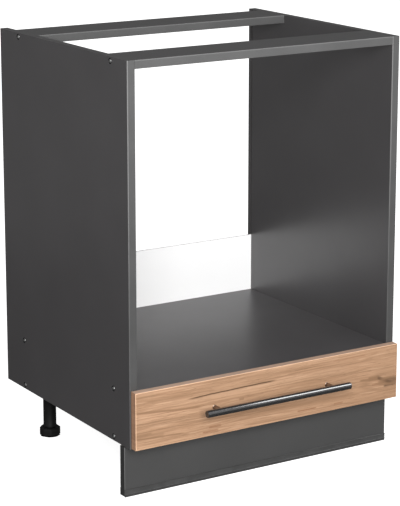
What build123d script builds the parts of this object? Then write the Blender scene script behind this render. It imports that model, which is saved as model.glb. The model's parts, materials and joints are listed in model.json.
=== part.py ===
from build123d import *
import os

# A 60 cm kitchen base unit that houses a built-in oven above one shallow drawer.
# Millimetres. X runs to the right, Y to the back and Z up. The origin is on the floor, under the middle of
# the whole unit's box, handle included. Left and right are those of someone who stands in front of it.

# Carcass
carcass_width = 600
carcass_depth = 500
overall_height = 820
leg_height = 100
board = 16
edging = 1
edging_round = 0.6
shelf_top = 209
rail_width = 95
rear_rail_inset = 37
fit = 0.05

# Back panel, in a groove of each side
back_thickness = 3
back_top = 331
groove_width = 3.2
groove_depth = 8
groove_inset = 10
groove_play = 0.5
back_screw_columns = (-200, 0, 200)

# Drilling lines, measured back from the carcass front
front_screw_line = 61
rear_screw_line = 423
dowel_offset = 32

# Carcass screws with a flush head and a hexagon socket, and wooden dowels
screw_head_radius = 5.8
screw_shank_radius = 3.5
screw_thread_radius = 3
screw_length = 50
screw_tip = 3
socket_sides = 6
socket_flats = 4
socket_depth = 3
countersink_angle = 90
dowel_radius = 4
dowel_length = 30
dowel_buried = 12
dowel_chamfer = 0.8

# Small wood screws with a round head
wood_screw_radius = 1.75
wood_screw_head_radius = 3.5
wood_screw_head = 2
wood_screw_length = 15
cross_length = 3.6
cross_width = 0.8
cross_depth = 1.2

# Drawer front, with felt pads that meet the carcass
front_width = 596
front_height = 110
front_bottom = 102
front_gap = 2
front_round = 1
pad_radius = 4
pad_thickness = 1.7
pad_inset = 10

# Bar handle
bar_radius = 7
bar_length = 326
bar_chamfer = 1
handle_spacing = 256
handle_projection = 36
post_radius = 4
handle_screw_radius = 2
handle_screw_grip = 10
handle_screw_head_radius = 4
handle_screw_head = 2.4
handle_screw_round = 1
handle_hole_radius = 2.3

# Drawer box
drawer_length = 450
drawer_height = 54
drawer_side_clearance = 12.5
drawer_lift = 12
drawer_bottom_thickness = 3
drawer_groove_width = 3.2
drawer_groove_rise = 8
drawer_groove_depth = 6
drawer_screw_rises = (27, 45)

# Cam fittings between the drawer front and the drawer sides
cam_radius = 7.5
cam_depth = 12.5
cam_setback = 24
cam_bolt_radius = 3
cam_bolt_thread_radius = 2.5
cam_bolt_neck_radius = 1.8
cam_bolt_in_front = 11
cam_hollow_radius = 3.6
front_dowel_rise = 44

# Roller runners, bent from sheet steel
sheet = 1.2
runner_length = 450
runner_setback = 3
runner_lift = 6
channel_reach = 10.6
channel_lip = 2
channel_lip_thickness = 1
upper_flange_reach = 8.5
upper_flange_start = 24
channel_play = 0.75
rail_play = 0.85
rail_setback = 1
rail_reach = 10.5
rail_shelf = 13.5
stop_tab_drop = 4
stop_tab_length = 5
runner_screw_radius = 3.1
runner_screw_head_radius = 4.3
runner_screw_length = 13
runner_screw_lines = (37, 229, 389)
drawer_screw_lines = (45, 225, 405)

# Rollers, and the pins that carry them
drawer_travel = 335
roller_radius = 9.5
roller_width = 6.3
roller_bore_radius = 2.07
roller_face_recess = 0.8
roller_hub_radius = 4.5
roller_rim = 1.8
roller_web_gap = 1.5
roller_end_play = 0.3
roller_play = 0.05
roller_setback = 12
pin_radius = 2
pin_collar_radius = 3.5
pin_head_radius = 3.2
pin_head = 0.8

# Legs
leg_inset = 45
front_leg_line = 75
rear_leg_line = 405
plate_width = 60
plate_corner = 6
plate_thickness = 3
plate_screw_spacing = 48
collar_radius = 16
collar_height = 9
tube_radius = 13.2
tube_chamfer = 0.8
foot_sides = 8
foot_flats = 39
foot_corner = 3.5
foot_height = 18
foot_shoulder = 2
foot_shoulder_slope = 60
foot_round = 3
thread_radius = 9
thread_pitch = 4
thread_depth = 1.2
thread_turns = 14
thread_form = ((0.3, 1), (0.5, 0), (0.7, 0), (0.9, 1))
thread_play = 0.2
foot_play = 0.3

# Plinth, with a push-on sealing strip and clips that snap on the front legs
plinth_setback = 21
plinth_top = 98
plinth_bottom = 2
plinth_round = 0.8
seal_wall = 1.2
seal_top = 15
seal_lower_bead = 5
seal_floor_gap = 0.6
seal_bead_radius = 1
clip_bottom = 42
clip_height = 20
clip_wall = 3
clip_mouth = 20
clip_neck = 12
clip_plate_width = 46
clip_screw_spacing = 32

# Places worked out from the sizes above
half_width = carcass_width / 2
inner_half = half_width - board
total_depth = carcass_depth + front_gap + board + handle_projection
rear_y = total_depth / 2
front_y = rear_y - carcass_depth
groove_front_y = rear_y - groove_inset - groove_width
back_front_y = groove_front_y + (groove_width - back_thickness) / 2
back_rear_y = back_front_y + back_thickness
bottom_top = leg_height + board
shelf_bottom = shelf_top - board
rail_bottom = overall_height - board
rear_rail_front = rear_y - rear_rail_inset - rail_width
board_levels = (leg_height + board / 2, shelf_bottom + board / 2, rail_bottom + board / 2)
screw_lines = (front_y + front_screw_line, front_y + rear_screw_line)
dowel_lines = tuple(line - dowel_offset for line in screw_lines)

drawer_half = inner_half - drawer_side_clearance
drawer_inner_half = drawer_half - board
drawer_middle_x = drawer_half - board / 2
drawer_front_y = front_y - front_gap
face_y = drawer_front_y - board
drawer_rear_y = drawer_front_y + drawer_length
drawer_bottom = bottom_top + drawer_lift
drawer_top = drawer_bottom + drawer_height
drawer_groove = (drawer_bottom + drawer_groove_rise, drawer_bottom + drawer_groove_rise + drawer_groove_width)
cam_z = drawer_bottom + drawer_height / 2
cam_y = drawer_front_y + cam_setback
front_dowel_z = drawer_bottom + front_dowel_rise
handle_z = front_bottom + front_height / 2
bar_y = face_y - handle_projection + bar_radius

channel_bottom = bottom_top + runner_lift
drawer_roller_z = channel_bottom + sheet + roller_play + roller_radius
channel_top = drawer_roller_z + roller_radius + channel_play + sheet
rail_bottom_z = channel_top + rail_play
cabinet_roller_z = rail_bottom_z - roller_play - roller_radius
runner_front_y = front_y + runner_setback
runner_rear_y = runner_front_y + runner_length
cabinet_roller_y = runner_front_y + roller_setback
drawer_roller_y = drawer_rear_y - roller_setback
web_x = inner_half - sheet
drawer_web_x = drawer_half + sheet
roller_outer_x = web_x - roller_web_gap
roller_inner_x = roller_outer_x - roller_width

leg_x = half_width - leg_inset
leg_lines = {"front": front_y + front_leg_line, "rear": front_y + rear_leg_line}
plate_bottom = leg_height - plate_thickness
plinth_front_y = front_y + plinth_setback
plinth_rear_y = plinth_front_y + board

os.makedirs("parts", exist_ok=True)


# Ways to place, repeat and write pieces

def save(piece, name):
    """Labels a finished piece and writes it."""
    piece.part.label = name
    export_step(piece.part, f"parts/{name}.step")


def save_pair(piece, name):
    """Writes a piece made for the right-hand side, and its mirror image for the left."""
    save(piece, f"{name}_right")
    with BuildPart() as mirrored:
        mirror(piece.part, about=Plane.YZ)
    save(mirrored, f"{name}_left")


def save_twins(piece, name):
    """Writes one node with a small part made for the right-hand side and its mirror image."""
    with BuildPart() as twins:
        add(piece.part)
        mirror(piece.part, about=Plane.YZ)
    save(twins, name)


def save_group(master, name, places):
    """Writes one node with a copy of the same small part at every place."""
    with BuildPart() as group:
        with Locations(*places):
            add(master.part)
    save(group, name)


def slab(x_range, y_range, z_range, mode=Mode.ADD):
    """A block between two corners, in the piece that is being made."""
    ranges = (x_range, y_range, z_range)
    middle = tuple((low + high) / 2 for low, high in ranges)
    size = tuple(high - low for low, high in ranges)
    with Locations(middle):
        Box(*size, mode=mode)


def turned(steps, y, z, mode=Mode.ADD):
    """Round steps along X, each from one x to a larger one, in the piece that is being made."""
    for start, end, radius in steps:
        with Locations(right_face(start, y, z)):
            Cylinder(radius, end - start, align=(Align.CENTER, Align.CENTER, Align.MIN), mode=mode)


def right_face(x, y, z):
    return Plane(origin=(x, y, z), x_dir=(0, 1, 0), z_dir=(1, 0, 0))


def left_face(x, y, z):
    return Plane(origin=(x, y, z), x_dir=(0, -1, 0), z_dir=(-1, 0, 0))


def rear_face(x, y, z):
    return Plane(origin=(x, y, z), x_dir=(1, 0, 0), z_dir=(0, 1, 0))


def front_face(x, y, z):
    return Plane(origin=(x, y, z), x_dir=(1, 0, 0), z_dir=(0, -1, 0))


def underside(x, y, z):
    return Plane(origin=(x, y, z), x_dir=(1, 0, 0), z_dir=(0, 0, -1))


def outward(x, y, z):
    """Planes on both sides of the middle that face away from it."""
    return [right_face(x, y, z), left_face(-x, y, z)]


def inward(x, y, z):
    """Planes on both sides of the middle that face it."""
    return [left_face(x, y, z), right_face(-x, y, z)]


def front_edges(piece):
    """The edges round the face that looks to the front."""
    return piece.faces().sort_by(Axis.Y)[0].edges()


# Fasteners, each made once: head on the XY plane, shank down along -Z

with BuildPart() as carcass_screw:
    with BuildSketch(Plane.XZ):
        with BuildLine():
            Polyline(
                (0, 0),
                (screw_head_radius, 0),
                (screw_shank_radius, screw_shank_radius - screw_head_radius),
                (screw_shank_radius, -board),
                (screw_thread_radius, -board),
                (screw_thread_radius, screw_tip - screw_length),
                (0, -screw_length),
                close=True,
            )
        make_face()
    revolve(axis=Axis.Z)
    with BuildSketch():
        RegularPolygon(socket_flats / 2, socket_sides, major_radius=False)
    extrude(amount=-socket_depth, mode=Mode.SUBTRACT)

with BuildPart() as dowel:
    Cylinder(dowel_radius, dowel_length, align=(Align.CENTER, Align.CENTER, Align.MAX))
    chamfer(dowel.edges().filter_by(GeomType.CIRCLE), dowel_chamfer)

with BuildPart() as wood_screw:
    with BuildSketch(Plane.XZ):
        with BuildLine():
            Polyline(
                (0, wood_screw_head),
                (0, -wood_screw_length),
                (wood_screw_radius, screw_tip - wood_screw_length),
                (wood_screw_radius, 0),
                (wood_screw_head_radius, 0),
            )
            RadiusArc(
                (wood_screw_head_radius, 0),
                (0, wood_screw_head),
                -(wood_screw_head_radius**2 + wood_screw_head**2) / (2 * wood_screw_head),
            )
        make_face()
    revolve(axis=Axis.Z)
    with BuildSketch(Plane.XY.offset(wood_screw_head)):
        Rectangle(cross_length, cross_width)
        Rectangle(cross_width, cross_length)
    extrude(amount=-cross_depth, mode=Mode.SUBTRACT)

with BuildPart() as runner_screw:
    with BuildSketch(Plane.XZ):
        with BuildLine():
            Polyline(
                (0, 0),
                (runner_screw_head_radius, 0),
                (runner_screw_radius, -sheet),
                (runner_screw_radius, -runner_screw_length),
                (0, -runner_screw_length),
                close=True,
            )
        make_face()
    revolve(axis=Axis.Z)
    with BuildSketch():
        Rectangle(cross_length, cross_width)
        Rectangle(cross_width, cross_length)
    extrude(amount=-cross_depth, mode=Mode.SUBTRACT)


def carcass_screw_hole():
    """The countersunk hole that a carcass screw goes through, in the piece that is being made."""
    CounterSinkHole(
        screw_shank_radius + fit,
        screw_head_radius + fit,
        depth=board,
        counter_sink_angle=countersink_angle,
    )


# Side panels, drilled for the boards between them and for the drawer runners

with BuildPart() as side_panel:
    slab((inner_half, half_width), (front_y + edging, rear_y), (leg_height, overall_height))
    slab(
        (inner_half, inner_half + groove_depth),
        (groove_front_y, groove_front_y + groove_width),
        (leg_height, overall_height),
        mode=Mode.SUBTRACT,
    )
    with Locations(*[right_face(half_width, y, z) for y in screw_lines for z in board_levels]):
        carcass_screw_hole()
    with Locations(*[left_face(inner_half, y, z) for y in dowel_lines for z in board_levels]):
        Hole(dowel_radius + fit, depth=dowel_buried)
    with Locations(*[left_face(inner_half, front_y + y, drawer_roller_z) for y in runner_screw_lines]):
        Hole(runner_screw_radius + fit, depth=runner_screw_length - sheet)
save_pair(side_panel, "side_panel")

with BuildPart() as side_edging:
    slab((inner_half, half_width), (front_y, front_y + edging), (leg_height, overall_height))
    fillet(front_edges(side_edging).filter_by(Axis.Z), edging_round)
save_pair(side_edging, "side_edging")


# Boards between the sides, each with a thin strip glued to its front edge

def drill_ends(level, screws, dowels):
    """Screw and dowel holes in both ends of the board that is being made."""
    with Locations(*[place for y in screws for place in outward(inner_half, y, level)]):
        Hole(screw_thread_radius + fit, depth=screw_length - board)
    with Locations(*[place for y in dowels for place in outward(inner_half, y, level)]):
        Hole(dowel_radius + fit, depth=dowel_length - dowel_buried)


def drill_rear_edge(level):
    """Holes for the screws that hold the back panel to the board that is being made."""
    with Locations(*[rear_face(x, groove_front_y, level) for x in back_screw_columns]):
        Hole(wood_screw_radius + fit, depth=wood_screw_length - back_thickness)


def save_edging(name, y, z):
    with BuildPart() as strip:
        slab((-inner_half, inner_half), (y, y + edging), (z, z + board))
        fillet(front_edges(strip).filter_by(Axis.X), edging_round)
    save(strip, name)


leg_screw_places = [
    underside(side * leg_x + dx, y + dy, plate_bottom)
    for side in (-1, 1)
    for y in leg_lines.values()
    for dx in (-plate_screw_spacing / 2, plate_screw_spacing / 2)
    for dy in (-plate_screw_spacing / 2, plate_screw_spacing / 2)
]

with BuildPart() as bottom_board:
    slab((-inner_half, inner_half), (front_y + edging, groove_front_y), (leg_height, bottom_top))
    drill_ends(board_levels[0], screw_lines, dowel_lines)
    drill_rear_edge(board_levels[0])
    with Locations(*[place.offset(-plate_thickness) for place in leg_screw_places]):
        Hole(wood_screw_radius + fit, depth=wood_screw_length - plate_thickness)
save(bottom_board, "bottom_board")
save_edging("bottom_board_edging", front_y, leg_height)

with BuildPart() as oven_shelf:
    slab((-inner_half, inner_half), (front_y + edging, groove_front_y), (shelf_bottom, shelf_top))
    drill_ends(board_levels[1], screw_lines, dowel_lines)
    drill_rear_edge(board_levels[1])
save(oven_shelf, "oven_shelf")
save_edging("oven_shelf_edging", front_y, shelf_bottom)

with BuildPart() as front_rail:
    slab((-inner_half, inner_half), (front_y + edging, front_y + rail_width), (rail_bottom, overall_height))
    drill_ends(board_levels[2], screw_lines[:1], dowel_lines[:1])
save(front_rail, "front_rail")
save_edging("front_rail_edging", front_y, rail_bottom)

with BuildPart() as rear_rail:
    slab(
        (-inner_half, inner_half),
        (rear_rail_front + edging, rear_rail_front + rail_width),
        (rail_bottom, overall_height),
    )
    drill_ends(board_levels[2], screw_lines[1:], dowel_lines[1:])
save(rear_rail, "rear_rail")
save_edging("rear_rail_edging", rear_rail_front, rail_bottom)

save_group(
    carcass_screw,
    "carcass_screws",
    [place for y in screw_lines for z in board_levels for place in outward(half_width, y, z)],
)
save_group(
    dowel,
    "carcass_dowels",
    [place for y in dowel_lines for z in board_levels for place in outward(inner_half + dowel_buried, y, z)],
)


# Back panel: stands in the side grooves, behind the bottom board and the shelf

back_half = inner_half + groove_depth - groove_play
back_screw_places = [rear_face(x, back_rear_y, z) for x in back_screw_columns for z in board_levels[:2]]

with BuildPart() as back_panel:
    slab((-back_half, back_half), (back_front_y, back_rear_y), (leg_height, back_top))
    with Locations(*back_screw_places):
        Hole(wood_screw_radius + fit, depth=back_thickness)
save(back_panel, "back_panel")
save_group(wood_screw, "back_panel_screws", back_screw_places)


# Legs: a screwed plate with a collar, a tube pressed into it, and a foot on a thread.
# Each is made on the Z axis and copied to the four places.

with BuildPart() as leg_plate:
    with BuildSketch(Plane.XY.offset(plate_bottom)):
        RectangleRounded(plate_width, plate_width, plate_corner)
        with GridLocations(plate_screw_spacing, plate_screw_spacing, 2, 2):
            Circle(wood_screw_radius + fit, mode=Mode.SUBTRACT)
    extrude(amount=plate_thickness)
    with BuildSketch(Plane.XY.offset(plate_bottom)):
        Circle(collar_radius)
        Circle(tube_radius + fit, mode=Mode.SUBTRACT)
    extrude(amount=-collar_height)
    chamfer(leg_plate.faces().sort_by(Axis.Z)[0].edges(), tube_chamfer)

with BuildPart() as leg_tube:
    with BuildSketch(Plane.XY.offset(foot_height + foot_play)):
        Circle(tube_radius)
        Circle(thread_radius + thread_play, mode=Mode.SUBTRACT)
    extrude(amount=plate_bottom - foot_height - foot_play)
    chamfer(leg_tube.faces().sort_by(Axis.Z)[0].edges().sort_by(SortBy.RADIUS)[-1], tube_chamfer)

with BuildPart() as leg_foot:
    with BuildSketch() as foot_outline:
        RegularPolygon(foot_flats / 2, foot_sides, major_radius=False, rotation=180 / foot_sides)
        fillet(foot_outline.vertices(), foot_corner)
    extrude(amount=foot_height - foot_shoulder)
    fillet(leg_foot.faces().sort_by(Axis.Z)[0].edges(), foot_round)
    with BuildSketch(Plane.XY.offset(foot_height - foot_shoulder)):
        add(foot_outline.sketch)
    extrude(amount=foot_shoulder, taper=foot_shoulder_slope)
    # The thread is drawn as rings of the same pitch and depth.
    root_radius = thread_radius - thread_depth
    stem_top = foot_height + thread_turns * thread_pitch
    outline = [(0, foot_height), (root_radius, foot_height)]
    for turn in range(thread_turns):
        for along, inward_share in thread_form:
            ring_radius = thread_radius - inward_share * thread_depth
            outline.append((ring_radius, foot_height + (turn + along) * thread_pitch))
    outline.append((root_radius, stem_top))
    outline.append((0, stem_top))
    with BuildSketch(Plane.XZ):
        with BuildLine():
            Polyline(*outline, close=True)
        make_face()
    revolve(axis=Axis.Z)

for row, y in leg_lines.items():
    for hand, x in (("left", -leg_x), ("right", leg_x)):
        for master, name in ((leg_plate, "leg_plate"), (leg_tube, "leg_tube"), (leg_foot, "leg_foot")):
            save_group(master, f"{name}_{row}_{hand}", [(x, y, 0)])
save_group(wood_screw, "leg_screws", leg_screw_places)


# Plinth board, its sealing strip and the clips on the front legs

clip_screw_z = clip_bottom + clip_height / 2
clip_screw_columns = [
    side * leg_x + dx for side in (-1, 1) for dx in (-clip_screw_spacing / 2, clip_screw_spacing / 2)
]

with BuildPart() as plinth_board:
    slab((-half_width, half_width), (plinth_front_y, plinth_rear_y), (plinth_bottom, plinth_top))
    fillet(front_edges(plinth_board).filter_by(Axis.Z), plinth_round)
    with Locations(*[rear_face(x, plinth_rear_y, clip_screw_z) for x in clip_screw_columns]):
        Hole(wood_screw_radius + fit, depth=wood_screw_length - clip_wall)
save(plinth_board, "plinth_board")

with BuildPart() as plinth_seal:
    with BuildSketch(Plane.YZ):
        with Locations(((plinth_front_y + plinth_rear_y) / 2, seal_floor_gap)):
            Rectangle(board + 2 * seal_wall, seal_top - seal_floor_gap, align=(Align.CENTER, Align.MIN))
        with Locations((plinth_front_y - seal_wall / 2, seal_top - seal_bead_radius)):
            Circle(seal_bead_radius)
        with Locations((plinth_front_y - seal_wall / 2, seal_lower_bead)):
            Circle(seal_bead_radius)
        with Locations((plinth_rear_y + seal_wall / 2, seal_top - seal_bead_radius)):
            Circle(seal_bead_radius)
        with Locations(((plinth_front_y + plinth_rear_y) / 2, plinth_bottom)):
            Rectangle(board, seal_top, align=(Align.CENTER, Align.MIN), mode=Mode.SUBTRACT)
    extrude(amount=half_width, both=True)
save(plinth_seal, "plinth_seal")

front_leg_y = leg_lines["front"]
clip_radius = tube_radius + fit + clip_wall
clip_screw_places = [rear_face(x, plinth_rear_y + clip_wall, clip_screw_z) for x in clip_screw_columns]

with BuildPart() as plinth_clip:
    with BuildSketch(Plane.XY.offset(clip_bottom)):
        with Locations((leg_x, plinth_rear_y)):
            Rectangle(clip_plate_width, clip_wall, align=(Align.CENTER, Align.MIN))
            Rectangle(clip_neck, front_leg_y - plinth_rear_y, align=(Align.CENTER, Align.MIN))
        with Locations((leg_x, front_leg_y)):
            Circle(clip_radius)
            Circle(tube_radius + fit, mode=Mode.SUBTRACT)
            Rectangle(clip_mouth, 2 * clip_radius, align=(Align.CENTER, Align.MIN), mode=Mode.SUBTRACT)
    extrude(amount=clip_height)
    with Locations(*clip_screw_places[2:]):
        Hole(wood_screw_radius + fit, depth=clip_wall)
save_pair(plinth_clip, "plinth_clip")
save_group(wood_screw, "plinth_clip_screws", clip_screw_places)


# Cabinet runners: a channel on each side, with a roller at its front end

with BuildPart() as cabinet_runner:
    run = (runner_front_y, runner_rear_y)
    slab((web_x, inner_half), run, (channel_bottom, channel_top))
    slab((inner_half - channel_reach, inner_half), run, (channel_bottom, channel_bottom + sheet))
    slab(
        (inner_half - channel_reach, inner_half - channel_reach + channel_lip_thickness),
        run,
        (channel_bottom, channel_bottom + sheet + channel_lip),
    )
    slab(
        (inner_half - upper_flange_reach, inner_half),
        (runner_front_y + upper_flange_start, runner_rear_y),
        (channel_top - sheet, channel_top),
    )
    # A tab bent down from the upper flange stops the drawer's roller at full travel.
    tab_bottom = channel_top - sheet - stop_tab_drop
    tab_reach = (roller_radius**2 - (tab_bottom - drawer_roller_z) ** 2) ** 0.5
    tab_rear_y = drawer_roller_y - drawer_travel - tab_reach - roller_end_play
    slab(
        (inner_half - upper_flange_reach, web_x),
        (tab_rear_y - stop_tab_length, tab_rear_y),
        (tab_bottom, channel_top - sheet),
    )
    with Locations(*[left_face(web_x, front_y + y, drawer_roller_z) for y in runner_screw_lines]):
        CounterSinkHole(
            runner_screw_radius + fit,
            runner_screw_head_radius + fit,
            depth=sheet,
            counter_sink_angle=countersink_angle,
        )
    with Locations(left_face(web_x, cabinet_roller_y, cabinet_roller_z)):
        Hole(pin_radius + fit, depth=sheet)
save_pair(cabinet_runner, "cabinet_runner")
save_group(
    runner_screw,
    "cabinet_runner_screws",
    [place for y in runner_screw_lines for place in inward(web_x, front_y + y, drawer_roller_z)],
)

with BuildPart() as cabinet_pin:
    turned(
        [
            (roller_inner_x - roller_end_play - pin_head, roller_inner_x - roller_end_play, pin_head_radius),
            (roller_inner_x - roller_end_play, inner_half, pin_radius),
            (roller_outer_x + roller_end_play, web_x, pin_collar_radius),
        ],
        cabinet_roller_y,
        cabinet_roller_z,
    )
save_twins(cabinet_pin, "cabinet_roller_pins")


def save_rollers(name, y, z):
    """The right and the left roller on one line, each with a hub and a rim that stand proud of its web."""
    with BuildPart() as roller:
        turned([(roller_inner_x, roller_outer_x, roller_radius)], y, z)
        for recess_start in (roller_inner_x, roller_outer_x - roller_face_recess):
            with BuildSketch(right_face(recess_start, y, z)):
                Circle(roller_radius - roller_rim)
                Circle(roller_hub_radius, mode=Mode.SUBTRACT)
            extrude(amount=roller_face_recess, mode=Mode.SUBTRACT)
        turned([(roller_inner_x, roller_outer_x, roller_bore_radius)], y, z, mode=Mode.SUBTRACT)
    save_pair(roller, name)


save_rollers("cabinet_roller", cabinet_roller_y, cabinet_roller_z)


# Drawer box: two sides and a back round a thin bottom that sits in their grooves

drawer_back_front_y = drawer_rear_y - board
drawer_screw_places = [(drawer_rear_y - board / 2, drawer_bottom + rise) for rise in drawer_screw_rises]

with BuildPart() as drawer_side:
    slab((drawer_inner_half, drawer_half), (drawer_front_y, drawer_rear_y), (drawer_bottom, drawer_top))
    slab(
        (drawer_inner_half, drawer_inner_half + drawer_groove_depth),
        (drawer_front_y, drawer_rear_y),
        drawer_groove,
        mode=Mode.SUBTRACT,
    )
    with Locations(left_face(drawer_inner_half, cam_y, cam_z)):
        Hole(cam_radius + fit, depth=cam_depth + fit)
    with Locations(front_face(drawer_middle_x, drawer_front_y, cam_z)):
        Hole(screw_shank_radius, depth=cam_setback)
    with Locations(front_face(drawer_middle_x, drawer_front_y, front_dowel_z)):
        Hole(dowel_radius + fit, depth=dowel_length - dowel_buried)
    with Locations(*[right_face(drawer_half, y, z) for y, z in drawer_screw_places]):
        carcass_screw_hole()
    with Locations(*[underside(drawer_middle_x, front_y + y, drawer_bottom) for y in drawer_screw_lines]):
        Hole(wood_screw_radius + fit, depth=wood_screw_length - sheet)
save_pair(drawer_side, "drawer_side")

with BuildPart() as drawer_back:
    drawer_inside = (-drawer_inner_half, drawer_inner_half)
    slab(drawer_inside, (drawer_back_front_y, drawer_rear_y), (drawer_bottom, drawer_top))
    slab(
        drawer_inside,
        (drawer_back_front_y, drawer_back_front_y + drawer_groove_depth),
        drawer_groove,
        mode=Mode.SUBTRACT,
    )
    with Locations(*[place for y, z in drawer_screw_places for place in outward(drawer_inner_half, y, z)]):
        Hole(screw_thread_radius + fit, depth=screw_length - board)
save(drawer_back, "drawer_back")
save_group(
    carcass_screw,
    "drawer_box_screws",
    [place for y, z in drawer_screw_places for place in outward(drawer_half, y, z)],
)

with BuildPart() as drawer_bottom_panel:
    tongue = drawer_groove_depth - groove_play
    slab(
        (-drawer_inner_half - tongue, drawer_inner_half + tongue),
        (drawer_front_y - tongue, drawer_back_front_y + tongue),
        (drawer_groove[0] + fit, drawer_groove[0] + fit + drawer_bottom_thickness),
    )
save(drawer_bottom_panel, "drawer_bottom")


# Drawer front, its cam fittings, dowels and pads

pad_places = [
    (x, drawer_front_y, z)
    for x in (-inner_half - board / 2, inner_half + board / 2)
    for z in (front_bottom + pad_inset, front_bottom + front_height - pad_inset)
]
handle_columns = (-handle_spacing / 2, handle_spacing / 2)
side_columns = (-drawer_middle_x, drawer_middle_x)

with BuildPart() as drawer_front:
    slab(
        (-front_width / 2, front_width / 2),
        (face_y, drawer_front_y),
        (front_bottom, front_bottom + front_height),
    )
    fillet(front_edges(drawer_front), front_round)
    slab(
        (-drawer_inner_half - drawer_groove_depth, drawer_inner_half + drawer_groove_depth),
        (drawer_front_y - drawer_groove_depth, drawer_front_y),
        drawer_groove,
        mode=Mode.SUBTRACT,
    )
    with Locations(*[rear_face(x, drawer_front_y, cam_z) for x in side_columns]):
        Hole(cam_bolt_thread_radius + fit, depth=cam_bolt_in_front)
    with Locations(*[rear_face(x, drawer_front_y, front_dowel_z) for x in side_columns]):
        Hole(dowel_radius + fit, depth=dowel_buried)
    with Locations(*[rear_face(x, drawer_front_y, handle_z) for x in handle_columns]):
        Hole(handle_hole_radius, depth=board)
save(drawer_front, "drawer_front")

with BuildPart() as front_cam:
    turned([(drawer_inner_half, drawer_inner_half + cam_depth, cam_radius)], cam_y, cam_z)
    with Locations(front_face(drawer_middle_x, cam_y - cam_radius, cam_z)):
        Hole(cam_hollow_radius, depth=cam_radius + cam_hollow_radius)
    with BuildSketch(left_face(drawer_inner_half, cam_y, cam_z)):
        Rectangle(cross_length * 2, cross_width * 2)
        Rectangle(cross_width * 2, cross_length * 2)
    extrude(amount=-cross_depth * 2, mode=Mode.SUBTRACT)
save_twins(front_cam, "front_cams")

with BuildPart() as front_cam_bolt:
    with BuildSketch(Plane.XY.offset(cam_z)):
        with BuildLine():
            Polyline(
                (drawer_middle_x, drawer_front_y - cam_bolt_in_front),
                (drawer_middle_x + cam_bolt_thread_radius, drawer_front_y - cam_bolt_in_front),
                (drawer_middle_x + cam_bolt_thread_radius, drawer_front_y),
                (drawer_middle_x + cam_bolt_radius, drawer_front_y),
                (drawer_middle_x + cam_bolt_radius, cam_y - cam_radius),
                (drawer_middle_x + cam_bolt_neck_radius, cam_y - cam_radius),
                (drawer_middle_x + cam_bolt_neck_radius, cam_y - cam_bolt_radius),
                (drawer_middle_x + cam_bolt_radius, cam_y - cam_bolt_radius),
                (drawer_middle_x + cam_bolt_radius, cam_y),
                (drawer_middle_x, cam_y),
                close=True,
            )
        make_face()
    revolve(axis=Axis((drawer_middle_x, 0, cam_z), (0, 1, 0)))
save_twins(front_cam_bolt, "front_cam_bolts")

front_dowel_end = drawer_front_y + dowel_length - dowel_buried
save_group(dowel, "front_dowels", [rear_face(x, front_dowel_end, front_dowel_z) for x in side_columns])

with BuildPart() as front_pad:
    Cylinder(pad_radius, pad_thickness, align=(Align.CENTER, Align.CENTER, Align.MIN))
save_group(front_pad, "front_pads", [rear_face(*place) for place in pad_places])


# Bar handle: a round bar on two posts, screwed on from inside the drawer

with BuildPart() as handle_bar:
    turned([(-bar_length / 2, bar_length / 2, bar_radius)], bar_y, handle_z)
    chamfer(handle_bar.edges().filter_by(GeomType.CIRCLE), bar_chamfer)
save(handle_bar, "handle_bar")

with BuildPart() as handle_post:
    with Locations(front_face(handle_spacing / 2, face_y, handle_z)):
        Cylinder(post_radius, face_y - bar_y, align=(Align.CENTER, Align.CENTER, Align.MIN))
    turned([(0, half_width, bar_radius + fit)], bar_y, handle_z, mode=Mode.SUBTRACT)
    with Locations(rear_face(handle_spacing / 2, face_y, handle_z)):
        Hole(handle_screw_radius + fit, depth=handle_screw_grip + fit)
save_pair(handle_post, "handle_post")

with BuildPart() as handle_screw:
    Cylinder(handle_screw_radius, board + handle_screw_grip, align=(Align.CENTER, Align.CENTER, Align.MAX))
    Cylinder(handle_screw_head_radius, handle_screw_head, align=(Align.CENTER, Align.CENTER, Align.MIN))
    fillet(handle_screw.faces().sort_by(Axis.Z)[-1].edges(), handle_screw_round)
    with BuildSketch(Plane.XY.offset(handle_screw_head)):
        Rectangle(cross_length, cross_width)
        Rectangle(cross_width, cross_length)
    extrude(amount=-cross_depth, mode=Mode.SUBTRACT)
save_group(handle_screw, "handle_screws", [rear_face(x, drawer_front_y, handle_z) for x in handle_columns])


# Drawer runners: a rail under each drawer side, with a roller at its rear end

drawer_runner_screw_places = [
    underside(x, front_y + y, drawer_bottom - sheet) for x in side_columns for y in drawer_screw_lines
]

with BuildPart() as drawer_runner:
    run = (drawer_front_y + rail_setback, drawer_rear_y)
    rail_top = rail_bottom_z + sheet
    slab((drawer_half, drawer_web_x), run, (drawer_bottom - sheet, rail_top))
    slab((drawer_half, drawer_half + rail_reach), run, (rail_bottom_z, rail_top))
    slab((drawer_half - rail_shelf, drawer_web_x), run, (drawer_bottom - sheet, drawer_bottom))
    with Locations(right_face(drawer_web_x, drawer_roller_y, drawer_roller_z)):
        Hole(pin_radius + fit, depth=sheet)
    with Locations(*drawer_runner_screw_places):
        Hole(wood_screw_radius + fit, depth=sheet)
save_pair(drawer_runner, "drawer_runner")
save_group(wood_screw, "drawer_runner_screws", drawer_runner_screw_places)

with BuildPart() as drawer_pin:
    turned(
        [
            (drawer_half, roller_outer_x + roller_end_play, pin_radius),
            (drawer_web_x, roller_inner_x - roller_end_play, pin_collar_radius),
            (roller_outer_x + roller_end_play, roller_outer_x + roller_end_play + pin_head, pin_head_radius),
        ],
        drawer_roller_y,
        drawer_roller_z,
    )
save_twins(drawer_pin, "drawer_roller_pins")
save_rollers("drawer_roller", drawer_roller_y, drawer_roller_z)
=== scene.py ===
import json
import math

import bpy
from mathutils import Matrix, Vector

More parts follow.
